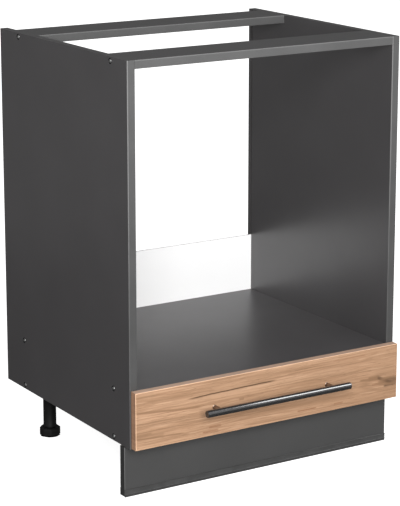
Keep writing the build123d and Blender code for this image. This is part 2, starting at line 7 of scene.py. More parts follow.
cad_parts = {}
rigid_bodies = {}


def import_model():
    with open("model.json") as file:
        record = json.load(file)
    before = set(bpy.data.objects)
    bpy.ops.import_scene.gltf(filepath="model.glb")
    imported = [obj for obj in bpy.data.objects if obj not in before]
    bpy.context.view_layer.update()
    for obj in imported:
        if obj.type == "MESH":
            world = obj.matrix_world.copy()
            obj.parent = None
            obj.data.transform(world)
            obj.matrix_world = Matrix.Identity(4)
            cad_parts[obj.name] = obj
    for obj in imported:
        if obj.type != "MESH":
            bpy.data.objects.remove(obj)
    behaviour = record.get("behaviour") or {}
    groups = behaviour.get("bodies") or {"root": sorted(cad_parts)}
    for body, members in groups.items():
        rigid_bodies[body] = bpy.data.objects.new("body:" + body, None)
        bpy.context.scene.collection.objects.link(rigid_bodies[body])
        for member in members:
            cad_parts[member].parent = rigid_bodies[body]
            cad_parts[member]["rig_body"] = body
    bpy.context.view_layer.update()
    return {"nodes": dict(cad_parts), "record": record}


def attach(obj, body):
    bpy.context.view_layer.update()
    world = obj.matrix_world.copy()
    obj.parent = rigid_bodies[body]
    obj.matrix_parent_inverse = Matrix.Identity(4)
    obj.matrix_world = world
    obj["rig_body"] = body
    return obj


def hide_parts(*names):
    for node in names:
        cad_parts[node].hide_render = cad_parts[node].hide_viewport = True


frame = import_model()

# The looks of an oven housing unit: anthracite boards, an oak drawer front with a bar handle, black legs.
# X runs to the right, Y to the back and Z up, as in the CAD model. Shapes are given in mm, and the materials
# and the studio in metres.

MM = 0.001
HALF_WIDTH = 300.0
BOARD_LEVELS = (108.0, 201.0, 812.0)  # middles of the bottom board, the oven shelf and the rails
SCREW_LINES = (-162.0, 200.0)
DOWEL_LINES = (-194.0, 168.0)
LEG_X = 255.0
LEG_ROWS = {"front": -148.0, "rear": 182.0}
PLATE_BOTTOM = 97.0
PLATE_SCREW = 24.0  # from the middle of a leg plate, both ways
FRONT_BACK = -225.0  # the rear face of the drawer front
FRONT_FACE = -241.0
HANDLE_X = 128.0
HANDLE_LEVEL = 157.0
BAR_Y = -270.0
DRAWER_SIDE_X = 263.5  # the middle of a drawer side
DRAWER_OUTSIDE_X = 271.5
RUNNER_WEB_X = 284.0
ROLLER_X = 275.0
CABINET_ROLLER = (-208.0, 135.5)  # y and z of its pin
DRAWER_ROLLER = (213.0, 132.75)
SIDES = {"left": -1.0, "right": 1.0}
UP = (0, 0, 1)
DOWN = (0, 0, -1)
BACK = (0, 1, 0)
TO_FRONT = (0, -1, 0)
TO_RIGHT = (1, 0, 0)
SAME_PLACE = 0.000002  # points that are closer than this, in metres, are one

nodes = frame["nodes"]
slot_of = {part["node"]: part["material_slot"] for part in frame["record"]["subparts"]}


# Finishes: one small builder, then a function for each real material

class Finish:
    """A material that is built up node by node round one shader."""

    def __init__(self, name, roughness, specular=0.5, metallic=0.0):
        self.material = bpy.data.materials.new(name)
        self.material.use_nodes = True
        self.tree = self.material.node_tree
        self.shader = self.tree.nodes["Principled BSDF"]
        self.shader.inputs["Roughness"].default_value = roughness
        self.shader.inputs["Specular IOR Level"].default_value = specular
        self.shader.inputs["Metallic"].default_value = metallic
        self.object_place = self.node("TexCoord").outputs["Object"]

    def node(self, kind, inputs=None, **settings):
        """A node with its settings, and each input set to a value or joined to an output."""
        node = self.tree.nodes.new("ShaderNode" + kind)
        for name, value in settings.items():
            setattr(node, name, value)
        for name, value in (inputs or {}).items():
            if isinstance(value, bpy.types.NodeSocket):
                self.tree.links.new(value, node.inputs[name])
            else:
                node.inputs[name].default_value = value
        return node

    def maths(self, operation, first, second=0.0, third=0.0):
        inputs = {0: first, 1: second, 2: third}
        return self.node("Math", inputs, operation=operation).outputs[0]

    def times(self, first, second):
        return self.maths("MULTIPLY", first, second)

    def stretched(self, scale, shift=(0.0, 0.0, 0.0)):
        """Object coordinates, scaled along each axis."""
        inputs = {"Vector": self.object_place, "Scale": scale, "Location": shift}
        return self.node("Mapping", inputs).outputs[0]

    def noise(self, place, scale, detail=2.0, roughness=0.5, distortion=0.0):
        inputs = {"Vector": place, "Scale": scale, "Detail": detail, "Roughness": roughness}
        inputs["Distortion"] = distortion
        return self.node("TexNoise", inputs).outputs[0]

    def grain(self, scale, detail=2.0, roughness=0.5, distortion=0.0):
        """Noise over the piece, the same in all directions."""
        return self.noise(self.object_place, scale, detail, roughness, distortion)

    def drawn_grain(self, scale, detail, roughness=0.5):
        """Noise over the piece, with its own scale along each axis."""
        return self.noise(self.stretched(scale), 1.0, detail, roughness)

    def fade(self, value, start, end, low=0.0, high=1.0):
        """A soft step: low up to start, high from end on."""
        inputs = {"Value": value, 1: start, 2: end, 3: low, 4: high}
        return self.node("MapRange", inputs, interpolation_type="SMOOTHSTEP").outputs[0]

    def blend(self, share, first, second):
        """Two colours, mixed by a share from 0 to 1."""
        inputs = {0: share, 6: first, 7: second}
        return self.node("Mix", inputs, data_type="RGBA").outputs[2]

    def cloudy(self, pattern, first, second):
        """Two colours that take turns softly, as a noise pattern says."""
        return self.blend(self.fade(pattern, 0.3, 0.7), first, second)

    def axes(self, vector=None):
        """The three numbers of a vector, by default the place on the piece."""
        return self.node("SeparateXYZ", {0: vector or self.object_place}).outputs

    def facing(self):
        """The three numbers of the surface's direction on the piece itself."""
        return self.axes(self.node("TexCoord").outputs["Normal"])

    def colour(self, value):
        self.tree.links.new(value, self.shader.inputs["Base Color"])

    def roughness(self, value):
        self.tree.links.new(value, self.shader.inputs["Roughness"])

    def uneven(self, pattern, low, high):
        """A roughness that goes from low to high, as a noise pattern says."""
        self.roughness(self.fade(pattern, 0.3, 0.7, low, high))

    def bump(self, height, strength, distance):
        inputs = {"Height": height, "Strength": strength, "Distance": distance}
        normal = self.node("Bump", inputs).outputs[0]
        self.tree.links.new(normal, self.shader.inputs["Normal"])


def grey(value, warmth=0.0):
    """A near-neutral colour, warmer or cooler by a small amount."""
    return (value * (1 + warmth), value, value * (1 - warmth), 1.0)


def chipboard(finish):
    """The raw core of a board where it was sawn: pressed chips in several browns."""
    chips = finish.node("TexVoronoi", {"Vector": finish.object_place, "Scale": 420.0}).outputs["Color"]
    shade = finish.axes(chips)[0]
    fine = finish.grain(1500.0, 3.0, 0.6)
    base = finish.blend(shade, (0.3, 0.19, 0.1, 1.0), (0.52, 0.38, 0.22, 1.0))
    return finish.blend(finish.fade(fine, 0.35, 0.75, 0.0, 0.6), base, (0.2, 0.12, 0.06, 1.0))


def melamine(finish, base, fleck):
    """A pressed melamine face: an even colour with a very fine cloud and pearl grain."""
    cloud = finish.grain(9.0, 3.0, 0.55)
    grain = finish.grain(2600.0, 2.0, 0.6)
    clouded = finish.cloudy(cloud, base, fleck)
    pearl = finish.fade(grain, 0.42, 0.72, 0.0, 0.35)
    return finish.blend(pearl, clouded, fleck), grain


def anthracite_board(name, raw_faces, specular, roughness=0.31, depth=1.0):
    """Dark melamine board. raw_faces are the axis and sign of the faces that show the sawn core."""
    finish = Finish(name, roughness, specular)
    base = (0.05 * depth, 0.0476 * depth, 0.049 * depth, 1.0)
    fleck = (0.055 * depth, 0.0524 * depth, 0.054 * depth, 1.0)
    face, grain = melamine(finish, base, fleck)
    if raw_faces:
        towards = finish.facing()
        raw = 0.0
        for axis, sign in raw_faces:
            along = finish.times(towards[axis], float(sign))
            raw = finish.maths("MAXIMUM", raw, finish.fade(along, 0.9, 0.95))
        finish.colour(finish.blend(raw, face, chipboard(finish)))
        finish.roughness(finish.fade(raw, 0.0, 1.0, roughness, 0.85))
    else:
        finish.colour(face)
        finish.uneven(grain, roughness - 0.03, roughness + 0.03)
    finish.bump(grain, 0.25, 0.00006)
    return finish.material


def anthracite_edging(name, depth, axis, edges, paleness, shade):
    """Plastic edge strip: a tone lighter than the board, with a painted highlight along its milled upper or
    left edge, the side the light comes from.

    edges are the places of those edges, along an axis across the strips. paleness is the strength of that
    painted highlight, and shade the share of painted shade that darkens the strip, each at the height of the
    drawer and at the top of the cabinet.
    """
    finish = Finish(name, 0.42, 0.3)
    place = finish.axes()[axis]
    height = finish.axes()[2]
    from_edge = 1.0
    for edge in edges:
        away = finish.maths("ABSOLUTE", finish.maths("SUBTRACT", place, edge))
        from_edge = finish.maths("MINIMUM", from_edge, away)
    cloud = finish.drawn_grain((14.0, 14.0, 14.0), 2.0)
    fine = finish.grain(1800.0, 2.0)
    body = finish.cloudy(cloud, grey(0.078 * depth), grey(0.09 * depth))
    speckled = finish.blend(finish.fade(fine, 0.45, 0.75, 0.0, 0.3), body, grey(0.105 * depth))
    # Painted shade: the strip is darkened lower down, by the shares that shade gives.
    speckled = finish.blend(finish.fade(height, 0.25, 0.8, *shade), speckled, grey(0.0))
    # Painted highlight along the upper or left edge, the side the light comes from.
    painted_highlight = finish.times(
        finish.fade(from_edge, 0.0024, 0.001), finish.fade(height, 0.25, 0.75, *paleness)
    )
    finish.colour(finish.blend(painted_highlight, speckled, grey(0.22 * depth)))
    finish.bump(fine, 0.15, 0.00004)
    return finish.material


def white_fibreboard(name):
    """Thin hardboard, lacquered white in front and raw brown behind, with a greyish sawn upper edge whose
    dark tone is also painted shade for the gap above the panel.
    """
    finish = Finish(name, 0.4, 0.5)
    towards = finish.facing()
    cloud = finish.grain(6.0, 3.0)
    grain = finish.grain(900.0, 2.0)
    white = finish.cloudy(cloud, grey(0.95), grey(0.93, 0.003))
    fibres = finish.drawn_grain((300.0, 300.0, 700.0), 4.0, 0.6)
    brown = finish.cloudy(fibres, (0.27, 0.16, 0.09, 1.0), (0.38, 0.25, 0.15, 1.0))
    rear_or_lower = finish.maths("MAXIMUM", towards[1], finish.times(towards[2], -1.0))
    behind = finish.fade(rear_or_lower, 0.8, 0.9)
    sides = finish.blend(behind, white, brown)
    # The upper face: the sawn edge's grey, dark enough to stand as painted shade for the gap above it.
    finish.colour(finish.blend(finish.fade(towards[2], 0.8, 0.9), sides, grey(0.24, 0.06)))
    finish.roughness(finish.fade(behind, 0.0, 1.0, 0.38, 0.75))
    finish.bump(grain, 0.12, 0.00006)
    return finish.material


def white_board(name):
    """White melamine of the drawer box."""
    finish = Finish(name, 0.45, 0.35)
    face, grain = melamine(finish, grey(0.8, 0.01), grey(0.76, 0.01))
    finish.colour(face)
    finish.bump(grain, 0.2, 0.00006)
    return finish.material


def oak_front(name):
    """Knotty oak decor with a crack and a knot, on a front that is a little darker at the right."""
    finish = Finish(name, 0.5, 0.3)
    x, y, z = finish.axes()
    # The grain bends round the knot near the right end.
    knot_x, knot_z = 0.282, 0.14
    from_knot_x = finish.maths("MULTIPLY_ADD", x, 16.0, -16.0 * knot_x)
    from_knot_z = finish.maths("MULTIPLY_ADD", z, 60.0, -60.0 * knot_z)
    squares = [finish.times(part, part) for part in (from_knot_x, from_knot_z)]
    near_knot = finish.maths("SQRT", finish.maths("ADD", *squares))
    pull = finish.fade(near_knot, 2.2, 0.0, 0.0, 0.006)
    drift = finish.drawn_grain((4.0, 4.0, 9.0), 2.0)
    sway = finish.maths("MULTIPLY_ADD", drift, 0.009, -0.0045)
    bent_z = finish.maths("ADD", finish.maths("ADD", z, sway), pull)
    along_grain = finish.node("CombineXYZ", {0: x, 1: y, 2: bent_z}).outputs[0]

    def streaks(length, height, detail, roughness=0.55):
        place = finish.node("Mapping", {"Vector": along_grain, "Scale": (length, 40.0, height)}).outputs[0]
        return finish.noise(place, 1.0, detail, roughness)

    light = (0.45, 0.275, 0.168, 1.0)
    mid = (0.36, 0.212, 0.124, 1.0)
    dark = (0.225, 0.126, 0.068, 1.0)
    deep = (0.095, 0.052, 0.028, 1.0)
    ruddy = (0.185, 0.078, 0.034, 1.0)
    pale = (0.56, 0.365, 0.235, 1.0)
    boards = streaks(1.6, 26.0, 2.0)
    bands = streaks(2.4, 150.0, 3.0)
    years = streaks(6.0, 360.0, 3.0, 0.5)
    fibres = streaks(14.0, 760.0, 3.0, 0.6)
    pores = streaks(60.0, 1200.0, 2.0)
    ticks = streaks(24.0, 400.0, 1.0, 0.5)
    pale_ticks = streaks(18.0, 330.0, 1.0, 0.45)
    tone = finish.blend(finish.fade(boards, 0.36, 0.66), light, mid)
    tone = finish.blend(finish.fade(x, -0.3, 0.3, 0.0, 0.55), tone, mid)
    for pattern, low, high, share, colour in (
        (bands, 0.48, 0.72, 0.5, dark),
        (years, 0.5, 0.66, 0.55, dark),
        (fibres, 0.5, 0.72, 0.45, dark),
        (pores, 0.6, 0.74, 0.5, deep),
        (ticks, 0.6, 0.72, 0.42, dark),
        (pale_ticks, 0.6, 0.72, 0.3, pale),
    ):
        tone = finish.blend(finish.fade(pattern, low, high, 0.0, share), tone, colour)

    def line(height, slope, bend, thickness, start, end, strength):
        """Where a line along the grain shows: its height at the middle, its slope and its stretch of x."""
        wander = finish.noise(finish.stretched((14.0, 1.0, 1.0), (height * 90.0, 0.0, 0.0)), 1.0, 3.0)
        centre = finish.maths("MULTIPLY_ADD", x, slope, height)
        centre = finish.maths("ADD", centre, finish.maths("MULTIPLY_ADD", wander, bend, -bend / 2))
        away = finish.maths("ABSOLUTE", finish.maths("SUBTRACT", z, centre))
        mask = finish.fade(away, thickness, thickness * 0.2)
        soft = (end - start) * 0.12
        mask = finish.times(mask, finish.fade(x, start, start + soft))
        mask = finish.times(mask, finish.fade(x, end, end - soft))
        return finish.times(mask, strength)

    marks = [
        line(0.1862, 0.02, 0.003, 0.002, -0.19, 0.015, 0.95),
        line(0.189, -0.012, 0.003, 0.0026, -0.285, -0.12, 0.6),
        line(0.15, -0.08, 0.005, 0.0034, -0.31, -0.15, 0.85),
        line(0.11, -0.045, 0.004, 0.0024, -0.31, -0.19, 0.9),
        line(0.131, 0.0, 0.003, 0.003, -0.31, -0.262, 0.6),
        line(0.162, 0.0, 0.001, 0.004, -0.074, -0.062, 0.6),
        line(0.13, -0.04, 0.005, 0.0034, -0.215, 0.04, 0.5),
        line(0.1955, 0.022, 0.002, 0.0014, 0.05, 0.095, 0.8),
        line(0.1669, -0.08, 0.003, 0.0034, 0.205, 0.262, 0.95),
        line(0.139, 0.0, 0.004, 0.0044, 0.25, 0.296, 0.5),
        line(0.15, 0.0, 0.002, 0.007, 0.227, 0.254, 0.95),
        line(0.125, 0.0, 0.004, 0.009, -0.12, 0.2, 0.35),
        line(0.125, 0.0, 0.004, 0.009, -0.299, -0.235, 0.5),
    ]
    spots = [
        line(0.1205, 0.01, 0.003, 0.0036, -0.142, -0.112, 0.9),
        line(0.112, 0.01, 0.003, 0.0036, -0.156, -0.118, 0.95),
        line(0.1135, 0.01, 0.002, 0.0028, 0.058, 0.106, 0.95),
        line(0.1125, 0.01, 0.002, 0.0026, 0.145, 0.168, 0.95),
        line(0.2035, 0.0, 0.003, 0.003, -0.26, -0.19, 0.25),
        line(0.201, 0.0, 0.002, 0.003, 0.14, 0.225, 0.45),
        line(0.137, 0.0, 0.002, 0.003, 0.236, 0.262, 0.5),
    ]
    tone = finish.blend(line(0.18, 0.0, 0.006, 0.011, -0.299, 0.2, 0.14), tone, pale)
    for mark in marks:
        tone = finish.blend(mark, tone, dark)
    for spot in spots:
        broken = finish.times(spot, finish.fade(fibres, 0.38, 0.56, 0.25, 0.85))
        tone = finish.blend(broken, tone, ruddy)
    crack = marks[0]
    below_knot = line(0.1152, 0.06, 0.003, 0.005, 0.264, 0.31, 0.9)
    past_knot = line(0.276, -0.5, 0.002, 0.0062, 0.248, 0.292, 0.8)
    for mark in (crack, below_knot, past_knot):
        tone = finish.blend(mark, tone, deep)
    waves = finish.maths("MULTIPLY_ADD", near_knot, 9.0, finish.times(bands, 9.0))
    rings = finish.fade(finish.maths("SINE", waves), -0.6, 1.0, 0.1, 0.85)
    tone = finish.blend(finish.times(finish.fade(near_knot, 1.6, 0.5), rings), tone, dark)
    heart = finish.times(finish.fade(near_knot, 0.42, 0.15), finish.fade(fibres, 0.3, 0.6, 0.2, 0.7))
    tone = finish.blend(heart, tone, deep)
    # The edge band: a paler tone on its top face is painted light, a darker one on its ends is painted
    # shade, and its rounded corners get a painted highlight.
    towards = finish.facing()
    end = finish.fade(finish.maths("ABSOLUTE", towards[0]), 0.85, 0.95, 0.0, 0.6)
    tone = finish.blend(end, tone, (0.255, 0.135, 0.082, 1.0))
    tone = finish.blend(finish.fade(towards[2], 0.85, 0.95, 0.0, 0.8), tone, (0.6, 0.405, 0.305, 1.0))
    # Painted highlight: the rounded corners get a pale orange.
    sideways = finish.maths("MAXIMUM", finish.maths("ABSOLUTE", towards[0]), towards[2])
    corner = finish.times(finish.fade(sideways, 0.15, 0.35), finish.fade(sideways, 0.93, 0.8))
    tone = finish.blend(finish.times(corner, 0.9), tone, (0.86, 0.56, 0.37, 1.0))
    finish.colour(tone)
    finish.uneven(fibres, 0.44, 0.58)
    height = finish.maths("SUBTRACT", finish.times(fibres, 0.6), finish.times(pores, 0.4))
    height = finish.maths("SUBTRACT", height, finish.times(crack, 1.2))
    finish.bump(height, 0.35, 0.00025)
    return finish.material


def zinc_steel(name):
    """Bright zinc plating with a faint cloud and fine scratches."""
    finish = Finish(name, 0.36, 0.5, 1.0)
    cloud = finish.grain(260.0, 3.0)
    finish.colour(finish.cloudy(cloud, grey(0.62), (0.55, 0.56, 0.55, 1.0)))
    finish.uneven(cloud, 0.26, 0.42)
    finish.bump(finish.grain(2400.0, 2.0), 0.2, 0.00003)
    return finish.material


def painted_countersink_shade(name):
    """The rims of the carcass screws: near-black and slightly cloudy, a painted shade for the shadow in the
    countersink round each head.
    """
    finish = Finish(name, 0.5, 0.2)
    cloud = finish.grain(420.0, 3.0)
    finish.colour(finish.cloudy(cloud, grey(0.004, -0.01), grey(0.01, -0.01)))
    finish.uneven(cloud, 0.45, 0.6)
    finish.bump(finish.grain(2400.0, 2.0), 0.2, 0.00003)
    return finish.material


def dark_steel(name):
    """The handle: drawn steel in a dark tone, with fine lines along the bar."""
    finish = Finish(name, 0.3, 0.5, 0.8)
    lines = finish.drawn_grain((30.0, 5200.0, 5200.0), 3.0, 0.6)
    cloud = finish.grain(30.0, 2.0)
    base = finish.cloudy(cloud, grey(0.085), grey(0.094))
    finish.colour(finish.blend(finish.fade(lines, 0.4, 0.7, 0.0, 0.4), base, grey(0.115)))
    finish.uneven(lines, 0.08, 0.12)
    finish.bump(lines, 0.05, 0.00002)
    return finish.material


def turned_steel(name):
    """The handle's posts: turned steel, tinted brown as a painted reflection of the oak front."""
    finish = Finish(name, 0.3, 0.5, 1.0)
    rings = finish.drawn_grain((200.0, 2600.0, 200.0), 2.0)
    finish.colour(finish.cloudy(rings, (0.22, 0.17, 0.14, 1.0), (0.28, 0.22, 0.18, 1.0)))
    finish.uneven(rings, 0.3, 0.42)
    finish.bump(rings, 0.15, 0.00003)
    return finish.material


def anthracite_plinth(name):
    """The plinth board: dark melamine, with a painted highlight along its rounded front edges and painted
    shade on its ends.
    """
    finish = Finish(name, 0.32, 0.5)
    melamine_face, grain = melamine(finish, grey(0.051), grey(0.055))
    towards = finish.facing()
    # Painted shade: the ends are darker.
    end = finish.fade(finish.maths("ABSOLUTE", towards[0]), 0.85, 0.95)
    face = finish.blend(end, melamine_face, grey(0.03))
    # Painted highlight on the rounded front edges.
    forward = finish.times(towards[1], -1.0)
    rounded = finish.times(finish.fade(forward, 0.97, 0.85), finish.fade(forward, 0.1, 0.25))
    finish.colour(finish.blend(rounded, face, grey(0.17)))
    finish.uneven(grain, 0.29, 0.36)
    finish.bump(grain, 0.25, 0.00006)
    return finish.material


def beech(name):
    """Raw beech dowel with short dark flecks along its grain."""
    finish = Finish(name, 0.65, 0.3)
    grain = finish.drawn_grain((60.0, 900.0, 900.0), 3.0)
    flecks = finish.drawn_grain((500.0, 2600.0, 2600.0), 2.0)
    base = finish.cloudy(grain, (0.62, 0.42, 0.25, 1.0), (0.52, 0.33, 0.19, 1.0))
    finish.colour(finish.blend(finish.fade(flecks, 0.6, 0.72), base, (0.32, 0.17, 0.09, 1.0)))
    finish.bump(grain, 0.3, 0.0001)
    return finish.material


def moulded_plastic(name, base, roughness, specular):
    """Injection-moulded plastic with a fine spark-eroded grain and a slight cloud."""
    finish = Finish(name, roughness, specular)
    cloud = finish.grain(40.0, 2.0)
    grain = finish.grain(1700.0, 2.0, 0.6)
    lift = 1.22
    lighter = tuple(min(1.0, part * lift) for part in base[:3]) + (1.0,)
    finish.colour(finish.cloudy(cloud, base, lighter))
    finish.uneven(grain, roughness - 0.05, roughness + 0.08)
    finish.bump(grain, 0.3, 0.00008)
    return finish.material


def seal_plastic(name):
    """The plinth's strip: soft grey plastic, with painted shade below its lower bead, near the floor, and on
    its upper edge where it faces up.
    """
    finish = Finish(name, 0.4, 0.4)
    height = finish.axes()[2]
    cloud = finish.grain(40.0, 2.0)
    grain = finish.grain(1700.0, 2.0, 0.6)
    body = finish.cloudy(cloud, grey(0.044), grey(0.054))
    # Painted shade near the floor, below the lower bead.
    below = finish.fade(height, 0.005, 0.004, 0.0, 0.35)
    # Painted shade on the upward-facing upper edge, in place of the light it catches.
    upper = finish.fade(finish.facing()[2], 0.2, 0.6, 0.0, 0.35)
    above = finish.times(upper, finish.fade(height, 0.01, 0.012))
    finish.colour(finish.blend(finish.maths("MAXIMUM", below, above), body, grey(0.0)))
    finish.uneven(grain, 0.35, 0.48)
    finish.bump(grain, 0.3, 0.00008)
    return finish.material


def powder_coat(name):
    """White powder coat on the runners: satin, with a faint orange-peel."""
    finish = Finish(name, 0.36, 0.5)
    peel = finish.grain(700.0, 2.0)
    cloud = finish.grain(20.0, 2.0)
    finish.colour(finish.cloudy(cloud, grey(0.8, 0.01), grey(0.76, 0.01)))
    finish.uneven(peel, 0.3, 0.42)
    finish.bump(peel, 0.25, 0.00008)
    return finish.material


def felt(name):
    """Grey felt: a mat of short fibres."""
    finish = Finish(name, 0.95, 0.1)
    fibres = finish.grain(1800.0, 5.0, 0.7, 1.5)
    finish.colour(finish.cloudy(fibres, grey(0.44, 0.02), grey(0.66, 0.01)))
    finish.bump(fibres, 0.8, 0.0003)
    return finish.material


finishes = {
    "anthracite_board": anthracite_board("anthracite_board", (), 0.5),
    "anthracite_edging": anthracite_edging(
        "anthracite_edging",
        depth=1.0,
        axis=2,
        edges=(0.116, 0.209, 0.82),
        paleness=(0.4, 0.4),
        shade=(0.0, 0.0),
    ),
    "white_fibreboard": white_fibreboard("white_fibreboard"),
    "white_board": white_board("white_board"),
    "oak_front": oak_front("oak_front"),
    "zinc_steel": zinc_steel("zinc_steel"),
    "beech": beech("beech"),
    "black_plastic": moulded_plastic("black_plastic", grey(0.006), 0.5, 0.2),
    "grey_seal": seal_plastic("grey_seal"),
    "white_steel": powder_coat("white_steel"),
    "white_plastic": moulded_plastic("white_plastic", grey(0.66, 0.01), 0.35, 0.5),
    "felt": felt("felt"),
    "handle_steel": dark_steel("handle_steel"),
}
sawn_side = anthracite_board("sawn_side", ((1, 1), (2, -1)), 0.85)
# The shelf and the bottom board take a copy that is 1.45 times lighter: painted light.
sawn_shelf_painted_light = anthracite_board("sawn_shelf_painted_light", ((1, 1), (0, 1), (0, -1)), 0.42, 0.37, 1.45)
sawn_rail = anthracite_board("sawn_rail", ((1, 1), (0, 1), (0, -1)), 0.85)
# The uprights' edging is a darker copy (depth 0.92) painted as shade, with painted shade lower down and a
# stronger painted highlight near the top.
upright_edging_painted_light = anthracite_edging(
    "upright_edging_painted_light", depth=0.92, axis=0, edges=(-0.3, 0.284), paleness=(0.15, 0.8), shade=(0.24, 0.0)
)
posts_painted_reflection = turned_steel("posts_painted_reflection")
own_finish = {
    "side_edging_left": upright_edging_painted_light,
    "side_edging_right": upright_edging_painted_light,
    "plinth_board": anthracite_plinth("anthracite_plinth"),
    "handle_post_left": posts_painted_reflection,
    "handle_post_right": posts_painted_reflection,
    "side_panel_left": sawn_side,
    "side_panel_right": sawn_side,
    "bottom_board": sawn_shelf_painted_light,
    "oven_shelf": sawn_shelf_painted_light,
    "front_rail": sawn_rail,
    "rear_rail": sawn_rail,
}


def wear(piece, node):
    """Gives a piece the finish of a CAD node."""
    material = own_finish.get(node, finishes[slot_of[node]])
    piece.data.materials.clear()
    piece.data.materials.append(material)


for node, piece in nodes.items():
    wear(piece, node)


# Modelling: small helpers, then a function for each kind of piece. Sizes are in mm.

def select_only(piece=None):
    bpy.ops.object.select_all(action="DESELECT")
    if piece:
        piece.select_set(True)
        bpy.context.view_layer.objects.active = piece


def open_mesh(piece):
    """Opens one piece for editing, with nothing else selected."""
    select_only(piece)
    bpy.ops.object.mode_set(mode="EDIT")
    bpy.ops.mesh.select_mode(type="VERT")


def close_mesh():
    bpy.ops.object.mode_set(mode="OBJECT")


def pick(piece, kind, wanted):
    """Selects the points, edges or faces that a test on their middle (mm) and direction picks out."""
    bpy.ops.mesh.select_mode(type=kind)
    bpy.ops.mesh.select_all(action="DESELECT")
    close_mesh()
    points = piece.data.vertices
    if kind == "FACE":
        for face in piece.data.polygons:
            face.select = wanted(face.center / MM, face.normal)
    elif kind == "EDGE":
        for edge in piece.data.edges:
            first, second = (points[end].co / MM for end in edge.vertices)
            edge.select = wanted((first + second) / 2, (second - first).normalized())
    else:
        for point in points:
            point.select = wanted(point.co / MM, point.normal)
    bpy.ops.object.mode_set(mode="EDIT")


def drawn_line(name, points):
    """A line of edges through points, left open for editing with all of it selected."""
    select_only()
    bpy.ops.mesh.primitive_plane_add(size=MM)
    piece = bpy.context.object
    piece.name = name
    open_mesh(piece)
    bpy.ops.mesh.select_all(action="SELECT")
    bpy.ops.mesh.merge(type="CENTER")
    bpy.ops.transform.translate(value=Vector(points[0]) * MM)
    for here, there in zip(points, points[1:]):
        draw_out(Vector(there) - Vector(here))
    bpy.ops.mesh.select_all(action="SELECT")
    return piece


def bevel(width, segments, affect="EDGES"):
    """Rounds the selected edges or corners of an open mesh."""
    bpy.ops.mesh.bevel(offset=width * MM, segments=segments, affect=affect)


def draw_out(step):
    """Extrudes the selection of an open mesh by a step."""
    bpy.ops.mesh.extrude_region_move(TRANSFORM_OT_translate={"value": Vector(step) * MM})


def turn_faces_out():
    """Merges doubles and turns the faces outwards, in an open mesh."""
    bpy.ops.mesh.select_all(action="SELECT")
    bpy.ops.mesh.remove_doubles(threshold=SAME_PLACE)
    bpy.ops.mesh.normals_make_consistent(inside=False)


def finished(piece, angle=35.0):
    """Closes the mesh with its faces outwards and its round faces smooth."""
    turn_faces_out()
    close_mesh()
    select_only(piece)
    bpy.ops.object.shade_smooth_by_angle(angle=math.radians(angle))
    return piece


def turned(name, profile, steps):
    """A piece turned on the Z axis, from a profile of (radius, height)."""
    piece = drawn_line(name, [(radius, 0.0, height) for radius, height in profile])
    bpy.ops.mesh.spin(steps=steps, angle=2 * math.pi, center=(0.0, 0.0, 0.0), axis=(0.0, 0.0, 1.0))
    return finished(piece)


def drawn_solid(name, outline, along, corner=0.0):
    """A flat outline, with its corners rounded, drawn out into a solid."""
    piece = drawn_line(name, list(outline) + [outline[0]])
    bpy.ops.mesh.remove_doubles(threshold=SAME_PLACE)
    if corner:
        bevel(corner, 4, "VERTICES")
    bpy.ops.mesh.select_all(action="SELECT")
    bpy.ops.mesh.edge_face_add()
    draw_out(along)
    return finished(piece)


def arc(middle, radius, start, end, count):
    """Points on an arc in the XY plane, between two angles in degrees."""
    angles = [math.radians(start + (end - start) * step / count) for step in range(count + 1)]
    return [(middle[0] + radius * math.cos(a), middle[1] + radius * math.sin(a)) for a in angles]


def change(piece, kind, **settings):
    """Adds a modifier and applies it."""
    select_only(piece)
    modifier = piece.modifiers.new(kind.title(), kind)
    for name, value in settings.items():
        setattr(modifier, name, value)
    bpy.ops.object.modifier_apply(modifier=modifier.name)
    return piece


def eased(piece, width, segments=2):
    """Rounds the sharp edges of a piece a little."""
    change(
        piece,
        "BEVEL",
        width=width * MM,
        segments=segments,
        limit_method="ANGLE",
        angle_limit=math.radians(40.0),
        use_clamp_overlap=True,
    )
    open_mesh(piece)
    return finished(piece)


def cut(piece, cutter, operation="DIFFERENCE"):
    """Takes the cutter's shape out of a piece, or adds it."""
    change(piece, "BOOLEAN", object=cutter, operation=operation, solver="EXACT")
    bpy.data.objects.remove(cutter)
    return piece


def joined(name, pieces):
    select_only(pieces[0])
    for piece in pieces:
        piece.select_set(True)
    if len(pieces) > 1:
        bpy.ops.object.join()
    pieces[0].name = name
    return pieces[0]


def bent_sheet(name, outline, start, end, outer_bends, inner_bends):
    """Sheet metal run along Y, from the (x, z) outline of its section, with its bends made round."""
    piece = drawn_solid(name, [(x, start, z) for x, z in outline], (0.0, end - start, 0.0))
    for bends, radius in ((outer_bends, 1.7), (inner_bends, 0.5)):
        open_mesh(piece)
        pick(
            piece,
            "EDGE",
            lambda middle, direction: abs(direction.y) > 0.9
            and any(abs(middle.x - x) < 0.1 and abs(middle.z - z) < 0.1 for x, z in bends),
        )
        bevel(radius, 4)
        finished(piece)
    return piece


def thread(root, crest, pitch, bottom, turns, steps):
    """A screw thread on the Z axis: one ridge that climbs turn by turn."""
    heights = [(root, 0.0), (root, 0.25), (crest, 0.45), (crest, 0.55), (root, 0.75), (root, 1.0)]
    piece = drawn_line("thread", [(radius, 0.0, bottom + share * pitch) for radius, share in heights])
    close_mesh()
    change(
        piece,
        "SCREW",
        angle=2 * math.pi,
        screw_offset=pitch * MM,
        iterations=turns,
        steps=steps,
        render_steps=steps,
        use_merge_vertices=False,
    )
    open_mesh(piece)
    return finished(piece)


